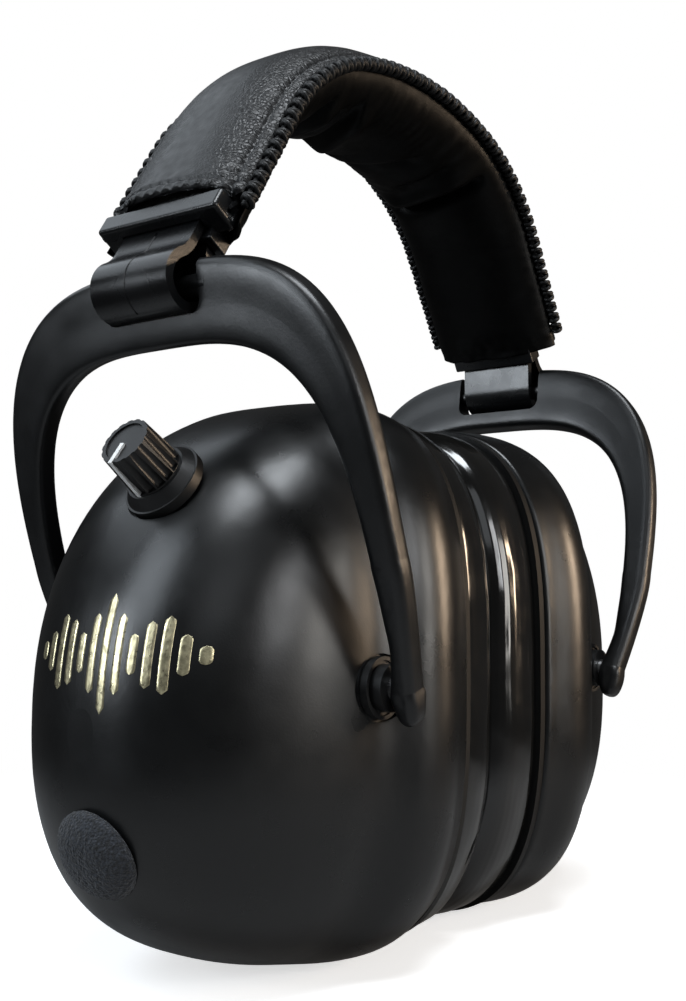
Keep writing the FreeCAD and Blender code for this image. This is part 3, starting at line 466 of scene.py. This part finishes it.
FINISH = {
    "shell_plastic": shell_plastic(),
    "plate_plastic": inner_plastic(),
    "zinc_steel": metal("zinc steel", (0.62, 0.62, 0.62), 0.25, 0.45),
    "gasket_rubber": gasket_rubber(),
    "seal_vinyl": seal_vinyl(),
    "scrim_cloth": knit("scrim cloth", (0.02, 0.02, 0.022)),
    "liner_foam": open_foam("liner foam", (0.06, 0.06, 0.065), 1.4 * MM),
    "speaker_metal": metal("speaker frame", (0.2, 0.2, 0.21), 0.35, 0.5),
    "battery_can": metal("battery can", (0.55, 0.53, 0.48), 0.22, 0.4),
    "contact_metal": metal("contact metal", (0.75, 0.6, 0.3), 0.25, 0.4),
    "board_laminate": board_laminate(),
    "knob_plastic": knob_plastic(),
    "pointer_white": pointer_paint(),
    "windscreen_foam": open_foam("windscreen foam", (0.013, 0.016, 0.022), 0.6 * MM),
    "yoke_plastic": yoke_plastic(),
    "washer_plastic": washer_plastic(),
    "pin_steel": metal("pin steel", (0.6, 0.6, 0.6), 0.2, 0.4),
    "hanger_plastic": hanger_plastic(),
    "block_plastic": block_plastic(),
    "rivet_steel": metal("rivet steel", (0.75, 0.75, 0.74), 0.15, 0.3),
    "spring_steel": metal("spring steel", (0.5, 0.5, 0.52), 0.25, 0.4),
    "band_foam": open_foam("band foam", (0.03, 0.03, 0.032)),
    "outer_leather": outer_leather(),
    "inner_leather": inner_leather(),
    "lacing_leather": lace_leather(),
}
SHARED_FINISH = {
    "holder_plastic": "plate_plastic", "pot_metal": "zinc_steel", "nut_metal": "contact_metal",
    "shaft_metal": "pin_steel", "capsule_metal": "zinc_steel",
}
THREAD = thread()
GOLD = gold_foil()


def finish_cad_nodes():
    """Give every CAD node the finish of its slot in the record."""
    for part in frame["record"]["subparts"]:
        slot = part["material_slot"]
        mesh = NODES[part["node"]].data
        mesh.materials.clear()
        mesh.materials.append(FINISH[SHARED_FINISH.get(slot, slot)])


# ---------- headband ----------

def band_place(along):
    """Point on the path and outward direction, this far right of the crown; negative is left."""
    side = -1 if along < 0 else 1
    left = abs(along)
    crown_centre = CROWN_Z - CROWN_RADIUS
    centre_x = (CROWN_RADIUS - SHOULDER_RADIUS) * math.sin(CROWN_ANGLE)
    centre_z = crown_centre + (CROWN_RADIUS - SHOULDER_RADIUS) * math.cos(CROWN_ANGLE)
    if left <= CROWN_LENGTH:
        a = left / CROWN_RADIUS
        x, z = CROWN_RADIUS * math.sin(a), crown_centre + CROWN_RADIUS * math.cos(a)
    else:
        a = min(TAIL_ANGLE, CROWN_ANGLE + (left - CROWN_LENGTH) / SHOULDER_RADIUS)
        down = max(0.0, left - CROWN_LENGTH - SHOULDER_LENGTH)
        x = centre_x + SHOULDER_RADIUS * math.sin(a) + down * math.cos(a)
        z = centre_z + SHOULDER_RADIUS * math.cos(a) - down * math.sin(a)
    return Vector((side * x, 0, z)), Vector((side * math.sin(a), 0, math.cos(a)))


def band_point(along, y, height):
    point, outward = band_place(along)
    return point + outward * height + Vector((0, y, 0))


def full_height(ends, along):
    return ends[0] + (ends[1] - ends[0]) * fade(abs(along) / BAND_LENGTH, 0.05, 0.75)


def outer_surface(along, y):
    """Height of the outer leather: flat-topped panel, steep sides, sunken seam, flange and stitched hem."""
    full = full_height(OUTER_RISE, along)
    left, off = abs(along), abs(y)
    if off < SEAM_Y:
        height = SEAM_LEVEL + (full - SEAM_LEVEL) * (1 - (off / SEAM_Y) ** 2.9) ** 0.72
    else:
        share = min(1.0, (off - SEAM_Y) / (PANEL_HALF - SEAM_Y))
        height = OUTER_EDGE + (SEAM_LEVEL - OUTER_EDGE) * math.sqrt(max(0.0, 1 - share ** 3))
    beat = math.cos(2 * math.pi * along / BEAD_PITCH + 1.5 * noise.noise(Vector((along / (6 * MM), 0, 5))))
    height -= hump(off - SEAM_Y, 0.42 * MM) * (0.55 + 0.18 * beat) * MM
    height += hump(off - SEAM_Y - 1.3 * MM, 0.75 * MM) * (0.40 - 0.12 * beat) * MM
    where = Vector((along, y, 0))
    height += rough(where, 13 * MM) * 0.20 * MM
    height += fade(off, 6 * MM, 12 * MM) * rough(where, 3.2 * MM) * 0.10 * MM
    to_end = BAND_LENGTH - left
    if to_end < 3 * HEM:
        gather = math.cos(2 * math.pi * y / HEM_PITCH + 2 * noise.noise(Vector((y / (5 * MM), 1, 0))))
        near_end = fade(3 * HEM - to_end, 0, 2 * HEM)
        height -= hump(to_end - HEM, 0.40 * MM) * (0.50 + 0.18 * gather) * MM
        height += hump(to_end - HEM + 1.5 * MM, 0.9 * MM) * (0.30 - 0.15 * gather) * MM
        crumple = rough(where, 2.3 * MM) + 0.6 * rough(where + Vector((1, 0, 0)), 1.1 * MM)
        height += near_end * crumple * (0.12 + 0.6 * fade(off, 9 * MM, 15 * MM)) * MM
        height -= fade(HEM - to_end, 0, 2 * HEM) * 1.0 * MM
    return max(height, OUTER_EDGE)


# Folds across the inner leather: place along at the middle, slant, depth, reach in Y, middle Y.
FOLDS = [
    (-15.0 * MM, 0.46, 3.0 * MM, 15 * MM, 0.0),
    (10.4 * MM, -0.25, 1.4 * MM, 12 * MM, 3 * MM),
    (34.6 * MM, 0.03, 4.4 * MM, 16 * MM, 0.0),
    (-35.5 * MM, -0.12, 3.4 * MM, 15 * MM, 0.0),
    (-25.0 * MM, 0.2, 0.8 * MM, 9 * MM, -4 * MM),
    (23.5 * MM, 0.15, 0.8 * MM, 9 * MM, -3 * MM),
]


def inner_surface(along, y):
    """Depth of the inner leather below the path: soft crown, deep folds and wrinkles near the edges."""
    full = full_height(INNER_DROP, along)
    off = abs(y)
    depth = INNER_EDGE + (full - INNER_EDGE) * max(0.0, 1 - (off / PANEL_HALF) ** 2.6) ** 0.6
    for place, slant, deep, reach, middle in FOLDS:
        line = place + slant * y + 0.9 * MM * math.sin(y / (6 * MM) + place * 900)
        away = (along - line) * (1 if along > 0 else -1)
        strength = 1 - fade(abs(y - middle), 0.55 * reach, reach)
        width = 1.0 * MM if away < 0 else 3.2 * MM
        depth -= strength * deep * hump(away, width)
        depth += strength * deep * 0.42 * hump(away + 3.6 * MM, 2.6 * MM)
    where = Vector((along, y, 3))
    edge = fade(off, 5 * MM, 14 * MM) * fade(PANEL_HALF - off, 0, 2 * MM)
    wrinkle = noise.noise(Vector((along / (2.1 * MM), y / (9 * MM), 0)))
    depth += edge * wrinkle * 0.33 * MM * (1 - fade(abs(along), 26 * MM, 45 * MM) * 0.6)
    depth += rough(where, 9 * MM) * 0.3 * MM
    past = abs(along) - BAND_LENGTH + 4 * MM
    if past > 0:
        near_end = fade(past, 0, 8 * MM)
        depth += near_end * (rough(where, 2.6 * MM) * 0.5 * MM - 1.1 * MM * (1 - off / PANEL_HALF))
    return max(depth, INNER_EDGE)


def across_places(half, count):
    """Places from one edge to the other, closer together near the edges."""
    return [half * math.sin(math.pi / 2 * (2 * i / (count - 1) - 1)) for i in range(count)]


def skin(name, side, surface, sign, length, columns, slot):
    """Half of a leather panel, from the crown to its end, as a closed sheet."""
    build, uv = Build(), []
    steps = round(length / RING_STEP)
    rows = []
    ys = across_places(PANEL_HALF, columns)
    backs = across_places(PANEL_HALF - LEATHER, 13)[::-1]
    for i in range(steps + 1):
        row = []
        for y in ys:
            scallop = 0.55 * MM * abs(math.sin(math.pi * y / HEM_PITCH)) if sign > 0 else 0
            ragged = scallop + 0.5 * MM * rough(Vector((y, side, 7)), 3 * MM)
            along = side * (i / steps) * (length - ragged)
            row.append(band_point(along, y, sign * surface(along, y)))
            uv.append((along, y))
        along = side * (i / steps) * (length - 0.5 * MM)
        for y in backs:
            under = max(surface(along, y) - LEATHER, 0.5 * MM)
            row.append(band_point(along, y, sign * under))
            uv.append((along, y))
        rows.append(row)
    build.add(rows, close_columns=True, cap_last=True)
    return build.piece(name, FINISH[slot], slot, uv)


def bend_with_band(piece):
    """Bake the world transform of a half of the band into its mesh."""
    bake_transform(piece)
    return piece


def padding(name, side, ends, sign):
    """Foam between spring and leather, one half."""
    build = Build()
    rows = []
    steps = 60
    for i in range(steps + 1):
        along = side * (BAND_LENGTH - 1.2 * MM) * i / steps
        full = full_height(ends, along) - LEATHER - 1.1 * MM
        half = PANEL_HALF - 3.2 * MM
        ys = across_places(half, 17)
        row = []
        for y in ys:
            crown = 1.4 * MM + (full - 2.4 * MM) * (1 - abs(y / half) ** 2.6) ** 0.6
            row.append(band_point(along, y, sign * crown))
        row += [band_point(along, y, sign * 0.9 * MM) for y in ys[-2:0:-1]]
        rows.append(row)
    build.add(rows, close_columns=True, cap_last=True)
    return build.piece(name, FINISH["band_foam"], "band_foam")


def spring_half(name, side):
    build = Build()
    reach = BAND_LENGTH + 2.1 * MM
    half, level = SPRING_HALF, SPRING_THICK / 2
    corners = [(-half, -level), (half, -level), (half, level), (-half, level)]
    rows = [[band_point(side * reach * i / 60, y, h) for y, h in corners] for i in range(61)]
    build.add(rows, close_columns=True, cap_last=True)
    made = build.piece(name, FINISH["spring_steel"], "spring_steel")
    made.data.polygons.foreach_set("use_smooth", [False] * len(made.data.polygons))
    return made


def lacing(name, side, edge):
    """Edge lacing: over a core, a chain of knots of two crossed turns each."""
    build = Build()
    reach = BAND_LENGTH + 1.6 * MM
    steps = 120
    core_y = edge * (LACE_Y - 0.5 * MM)
    build.tube([band_point(side * reach * i / steps, core_y, 0) for i in range(steps + 1)], 0.8 * MM)
    knots = int(reach / BEAD_PITCH)
    for k in range(knots):
        middle = side * (k + 0.5) * reach / knots
        wobble = Vector((k, edge, side))
        size = KNOT_RADIUS * (1 + 0.10 * noise.noise(wobble * 3.7))
        for turn, lean in enumerate((0.42, -0.36)):
            line = []
            shift = (turn - 0.5) * 0.40 * BEAD_PITCH
            for j in range(18):
                a = 2 * math.pi * j / 18
                along = middle + side * (shift + lean * size * math.cos(a + 0.5 * turn))
                y = LACE_Y - 0.12 * MM + size * 0.95 * math.sin(a)
                line.append(band_point(along, edge * y, size * 1.05 * math.cos(a)))
            thick = LACE_STRAND * (1 + 0.12 * noise.noise(wobble + Vector((9, turn, 0))))
            build.tube(line, thick, 7, closed=True)
        tail = []
        for t in (-1, -0.5, 0, 0.5, 1):
            y = edge * (LACE_Y + (0.9 - 0.5 * abs(t)) * MM)
            tail.append(band_point(middle + side * 0.30 * BEAD_PITCH * t, y, 0.9 * MM * t))
        build.tube(tail, LACE_STRAND * 0.8, 6)
    return build.piece(name, FINISH["lacing_leather"], "lacing_leather")


def stitches(name, side):
    """Thread along the seam lines and the hem of the outer leather."""
    build = Build()

    def stitch(along_from, y_from, along_to, y_to):
        line = []
        for t in (0, 0.2, 0.5, 0.8, 1):
            along = along_from + (along_to - along_from) * t
            y = y_from + (y_to - y_from) * t
            arch = 0.2 * MM * math.sin(math.pi * t) - 0.12 * MM
            line.append(band_point(along, y, outer_surface(along, y) + arch))
        build.tube(line, THREAD_RADIUS, 6)

    count = int((BAND_LENGTH - HEM) / BEAD_PITCH)
    for k in range(count):
        start = side * (k + 0.16) * BEAD_PITCH
        end = side * (k + 0.84) * BEAD_PITCH
        for edge in (-1, 1):
            stitch(start, edge * SEAM_Y, end, edge * (SEAM_Y + 0.1 * MM))
    hem = side * (BAND_LENGTH - HEM)
    for k in range(-5, 5):
        stitch(hem, (k + 0.1) * HEM_PITCH, hem, (k + 0.9) * HEM_PITCH)
    return build.piece(name, THREAD, "lacing_leather")


def headband():
    for word, side in SIDES.items():
        outer_end, inner_end = BAND_LENGTH - 0.7 * MM, BAND_LENGTH + INNER_FLAP
        outer = skin("outer_leather_" + word, side, outer_surface, 1, outer_end, 101, "outer_leather")
        inner = skin("inner_leather_" + word, side, inner_surface, -1, inner_end, 71, "inner_leather")
        top = padding("top_padding_" + word, side, OUTER_RISE, 1)
        head = padding("head_padding_" + word, side, INNER_DROP, -1)
        spring = spring_half("spring_" + word, side)
        edges = (("front", -1), ("back", 1))
        laces = [lacing("lacing_%s_%s" % (end, word), side, edge) for end, edge in edges]
        seam = stitches("stitching_" + word, side)
        for piece in [outer, inner, top, head, spring, seam] + laces:
            bend_with_band(piece)
        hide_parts("headband_cover_outer")
        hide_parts("headband_cover_inner")
        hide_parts("top_padding")
        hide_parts("head_pad")
        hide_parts("headband_spring")
        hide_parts("headband_lacing")


# ---------- ear cushions ----------

def oval_direction(a, power):
    c, s = math.cos(a), math.sin(a)
    size = (abs(c) ** power + abs(s) ** power) ** (-1.0 / power)
    return c * size, s * size


def ear_cushion(word, side):
    """Soft ring with a bulged side wall, a rolled face and a vent slit drawn as a dark rod of painted shade.
    """
    low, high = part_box(word + "_ear_cushion")
    face = min(abs(low.x), abs(high.x))
    back = max(abs(low.x), abs(high.x))
    middle_z = (low.z + high.z) / 2
    half_y, half_z = (high.y - low.y) / 2, (high.z - low.z) / 2
    hole_y, hole_z = OPENING_HALF
    profile = [(0.00, 1.8), (0.02, 0.6), (0.06, 0.12), (0.12, 0.0), (0.30, -0.1), (0.46, 0.0), (0.60, 0.25),
               (0.72, 0.75), (0.81, 1.5), (0.88, 2.4), (0.94, 3.7), (0.98, 5.3), (1.0, 7.3)]
    inner_wall = [(0.985, 3.6), (0.94, 1.9), (0.84, 0.7), (0.7, 0.15), (0.5, 0.0), (0.25, 0.0), (0.0, 0.0)]
    rows = []
    for k in range(320):
        a = 2 * math.pi * k / 320
        oy, oz = oval_direction(a, CUSHION_POWER)
        iy, iz = oval_direction(a, OPENING_POWER)
        outer = Vector((0, half_y * oy, half_z * oz))
        inner = Vector((0, hole_y * iy, hole_z * iz))
        inward = (inner - outer).normalized()
        width = (inner - outer).length
        row = []

        def put(share, inset, soft):
            x = back + (face - back) * share
            lump = rough(outer + Vector((x, 0, side)), 14 * MM) * 0.42 * MM
            lump += rough(outer + Vector((1.5 * x, 1, side)), 6 * MM) * 0.11 * MM
            point = outer + inward * (inset + soft * lump)
            row.append(Vector((side * (x + (soft - 1) * lump * 0.4), point.y, middle_z + point.z)))

        for (s0, i0), (s1, i1) in zip(profile, profile[1:]):
            for t in (0, 0.25, 0.5, 0.75):
                share = s0 + (s1 - s0) * t
                put(share, (i0 + (i1 - i0) * t) * MM, fade(share, 0.05, 0.2))
        for t in (0, 0.25, 0.5, 0.75, 1):
            top = 7.3 * MM + (width - 12.6 * MM) * t
            put(1.0 - 0.01 * math.sin(math.pi * t), top, 0.5)
        for share, inset in inner_wall:
            put(share, width - inset * MM, 0.3)
        rows.append(row)
    build = Build()
    build.add(rows, close_rows=True, close_columns=True)
    made = build.piece(word + "_seal", FINISH["seal_vinyl"], "seal_vinyl")
    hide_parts(word + "_ear_cushion")
    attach(made, "cup_" + word)
    # The vent slit is drawn as a dark rod of painted shade.
    slit = vent_slit_shade(word, side, made)
    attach(slit, "cup_" + word)
    for piece in (made, slit):
        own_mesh(piece)


def vent_slit_shade(word, side, seal):
    """Painted shade: a narrow dark rod along the slit that lets air out of the seal's foam, low on its side
    wall, standing for the shade inside the slit.
    """
    surface = BVHTree.FromPolygons([v.co for v in seal.data.vertices],
                                   [tuple(p.vertices) for p in seal.data.polygons])
    build = Build()
    line = []
    for i in range(17):
        t = 2 * i / 16 - 1
        z = SLIT_Z + SLIT_HALF * t
        x = side * (SLIT_X - 0.9 * MM * t)
        hit, normal, _, _ = surface.ray_cast(Vector((x, side * 0.1, z)), Vector((0, -side, 0)))
        line.append(hit - normal * 0.05 * MM)
    build.tube(line, lambda share: (0.03 + 0.26 * math.sin(math.pi * share)) * MM, 8)
    return build.piece(word + "_vent_slit_shade", FINISH["gasket_rubber"], "gasket_rubber")


# ---------- small parts on the cups ----------

def cup_surface(word):
    mesh = NODES[word + "_cup_shell"].data
    return BVHTree.FromPolygons([v.co for v in mesh.vertices], [tuple(p.vertices) for p in mesh.polygons])


def sound_bars():
    """Middle Y and half height of each bar of the mark, a plain rising and falling sound level."""
    middle = (MARK_BARS - 1) / 2
    bars = []
    for i in range(MARK_BARS):
        share = (i - middle) / middle
        swell = math.cos(share * math.pi / 2) ** 0.8
        beat = 0.62 + 0.38 * math.cos(share * 9.4)
        bars.append((share * MARK_HALF + MARK_Y, (1.6 + 8.6 * swell * beat) * MM))
    return bars


def gold_mark(word, side):
    """Foil bars laid on the outer face of the shell, following its curve."""
    surface = cup_surface(word)
    _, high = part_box(word + "_cup_shell")
    mark_z = high.z - MARK_DROP
    build = Build()

    def on_shell(y, z, lift):
        hit, normal, _, _ = surface.ray_cast(Vector((side * 0.2, y, z)), Vector((-side, 0, 0)))
        return hit + normal * lift

    for y, tall in sound_bars():
        rows = []
        steps = 18
        for i in range(steps + 1):
            v = 2 * i / steps - 1
            rise = tall * v
            end = max(0.0, abs(rise) - (tall - BAR_HALF))
            wide = math.sqrt(max(0.0, BAR_HALF ** 2 - end ** 2)) + 0.02 * MM
            edge = [on_shell(y + wide * u, mark_z + rise, 0.02 * MM) for u in (-1, 1)]
            top = [on_shell(y + wide * u, mark_z + rise, FOIL) for u in (-0.92, -0.4, 0, 0.4, 0.92)]
            rows.append([edge[0]] + top + [edge[1]])
        build.add(rows)
    made = build.piece(word + "_gold_mark", GOLD, "pointer_white")
    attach(made, "cup_" + word)


def windscreen(word, side):
    """Foam disc with a soft, torn-looking surface of open cells."""
    low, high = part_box(word + "_mic_windscreen")
    axis = Vector((side * math.cos(FOAM_TILT), 0, math.sin(FOAM_TILT)))
    across = Vector((side * math.sin(-FOAM_TILT), 0, math.cos(FOAM_TILT)))
    radius = FOAM_RADIUS
    seat = Vector((side * FOAM_SEAT[0], (low.y + high.y) / 2, FOAM_SEAT[1]))
    rows = []
    rings, spokes = 34, 130
    for i in range(rings):
        share = (i + 0.6) / rings
        row = []
        for k in range(spokes):
            a = 2 * math.pi * k / spokes
            if share < 0.84:
                r = radius * share / 0.84
                out = FOAM_TALL * (1 - (r / radius) ** 3.2) + 0.35 * MM
            else:
                r = radius
                out = 0.35 * MM - (share - 0.84) / 0.16 * 1.2 * MM
            edge = Vector((0, 1, 0)) * math.cos(a) + across * math.sin(a)
            point = seat + edge * r + axis * out
            pore = noise.noise(point / (0.75 * MM)) * 0.16 + noise.noise(point / (0.38 * MM)) * 0.12
            soft = (axis * (1 - r / radius * 0.6) + edge * (r / radius) * 0.8).normalized()
            row.append(point + soft * (pore * MM))
        rows.append(row)
    build = Build()
    build.add(rows, close_columns=True, cap_first=True, cap_last=True)
    made = build.piece(word + "_windscreen", FINISH["windscreen_foam"], "windscreen_foam")
    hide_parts(word + "_mic_windscreen")
    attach(made, "cup_" + word)


def hanger_seam(word, side):
    """Raised mould line down the middle of the hanger's outer leg and curl."""
    mesh = NODES[word + "_hanger_loop"].data
    surface = BVHTree.FromPolygons([v.co for v in mesh.vertices], [tuple(p.vertices) for p in mesh.polygons])
    low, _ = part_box(word + "_hanger_loop")
    build = Build()
    line = []
    for i in range(60):
        z = low.z + 0.6 * MM + i / 59 * 16.5 * MM
        hit, normal, _, _ = surface.ray_cast(Vector((side * 0.2, MOULD_LINE_Y, z)), Vector((-side, 0, 0)))
        if hit is not None and abs(hit.x) > 64 * MM:
            line.append(hit + normal * 0.02 * MM)
    build.tube(line, MOULD_LINE, 6)
    made = build.piece(word + "_hanger_seam", FINISH["hanger_plastic"], "hanger_plastic")
    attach(made, "slider_" + word)


# ---------- stage ----------

def floor():
    build = Build()
    size = 6.0
    build.add([[Vector((x, y, -0.0002)) for y in (-size, size)] for x in (-size, size)])
    build.piece("floor", floor_paint())


def area_light(name, azimuth, elevation, far, wide, tall, radiance, colour, aim=(0, 0, 0.09)):
    """Soft box seen from the object at an azimuth (0 is +X, 90 is +Y) and elevation in degrees."""
    a, e = math.radians(azimuth), math.radians(elevation)
    aim = Vector(aim)
    place = aim + far * Vector((math.cos(a) * math.cos(e), math.sin(a) * math.cos(e), math.sin(e)))
    light = bpy.data.lights.new(name, "AREA")
    light.shape = "RECTANGLE"
    light.size = wide
    light.size_y = tall
    light.energy = radiance * math.pi * wide * tall
    light.color = colour
    made = bpy.data.objects.new(name, light)
    bpy.context.scene.collection.objects.link(made)
    made.location = place
    made.rotation_euler = (aim - place).to_track_quat("-Z", "Y").to_euler()


def studio():
    area_light("back soft box", 105, 50, 0.9, 0.80, 0.50, 1.4, (0.84, 0.92, 1.0))
    area_light("left window", 163, 34, 0.9, 0.40, 0.50, 4.6, (0.84, 0.92, 1.0))
    area_light("low left window", 152, 12, 0.9, 0.20, 0.24, 15.0, (0.86, 0.93, 1.0))
    area_light("overhead soft box", -127, 70, 0.8, 0.40, 0.26, 16.0, (0.90, 0.95, 1.0))
    area_light("warm side box", -50, 8, 0.8, 0.11, 0.26, 24.0, (1.0, 0.76, 0.54))
    area_light("pale side box", -78, 8, 0.9, 0.22, 0.40, 7.0, (1.0, 0.97, 0.92))
    area_light("dim front fill", -99, 16, 0.9, 0.18, 0.34, 8.0, (0.97, 0.98, 1.0))
    area_light("camera side fill", -138, 26, 0.9, 0.40, 0.36, 0.9, (0.9, 0.95, 1.0))
    world = bpy.data.worlds.new("studio")
    bpy.context.scene.world = world
    world.use_nodes = True
    tree = world.node_tree
    background = tree.nodes["Background"]
    seen = tree.nodes.new("ShaderNodeLightPath")
    strength = tree.nodes.new("ShaderNodeMapRange")
    strength.inputs["To Min"].default_value = 0.04
    strength.inputs["To Max"].default_value = 1.0
    tree.links.new(seen.outputs["Is Camera Ray"], strength.inputs["Value"])
    tree.links.new(strength.outputs["Result"], background.inputs["Strength"])
    background.inputs["Color"].default_value = (1, 1, 1, 1)
    bpy.context.scene.view_settings.view_transform = "Standard"


CAMERA_AZIMUTH = math.radians(-53.83)
CAMERA_ELEVATION = math.radians(-4.96)
CAMERA_ROLL = math.radians(0.37)
CAMERA_PLACE = (-0.22664, -0.16028, 0.07085)


def camera():
    """Looks level and slightly up from the front left, as a product picture does."""
    a, e, roll = CAMERA_AZIMUTH, CAMERA_ELEVATION, CAMERA_ROLL
    back = Vector((math.sin(a) * math.cos(e), -math.cos(a) * math.cos(e), math.sin(e)))
    level = Vector((math.cos(a), math.sin(a), 0))
    up = back.cross(level)
    right = level * math.cos(roll) + up * math.sin(roll)
    up = back.cross(right)
    data = bpy.data.cameras.new("camera")
    data.lens = 43.37
    data.sensor_width = 36
    data.shift_x = -0.0013
    data.shift_y = -0.005
    data.clip_start = 0.01
    made = bpy.data.objects.new("camera", data)
    bpy.context.scene.collection.objects.link(made)
    made.matrix_world = Matrix.Translation(CAMERA_PLACE) @ Matrix((right, up, back)).transposed().to_4x4()
    bpy.context.scene.camera = made


def write_sizes():
    bpy.context.view_layer.update()


finish_cad_nodes()
headband()
for word, side in SIDES.items():
    ear_cushion(word, side)
    gold_mark(word, side)
    windscreen(word, side)
    hanger_seam(word, side)
floor()
studio()
camera()
write_sizes()
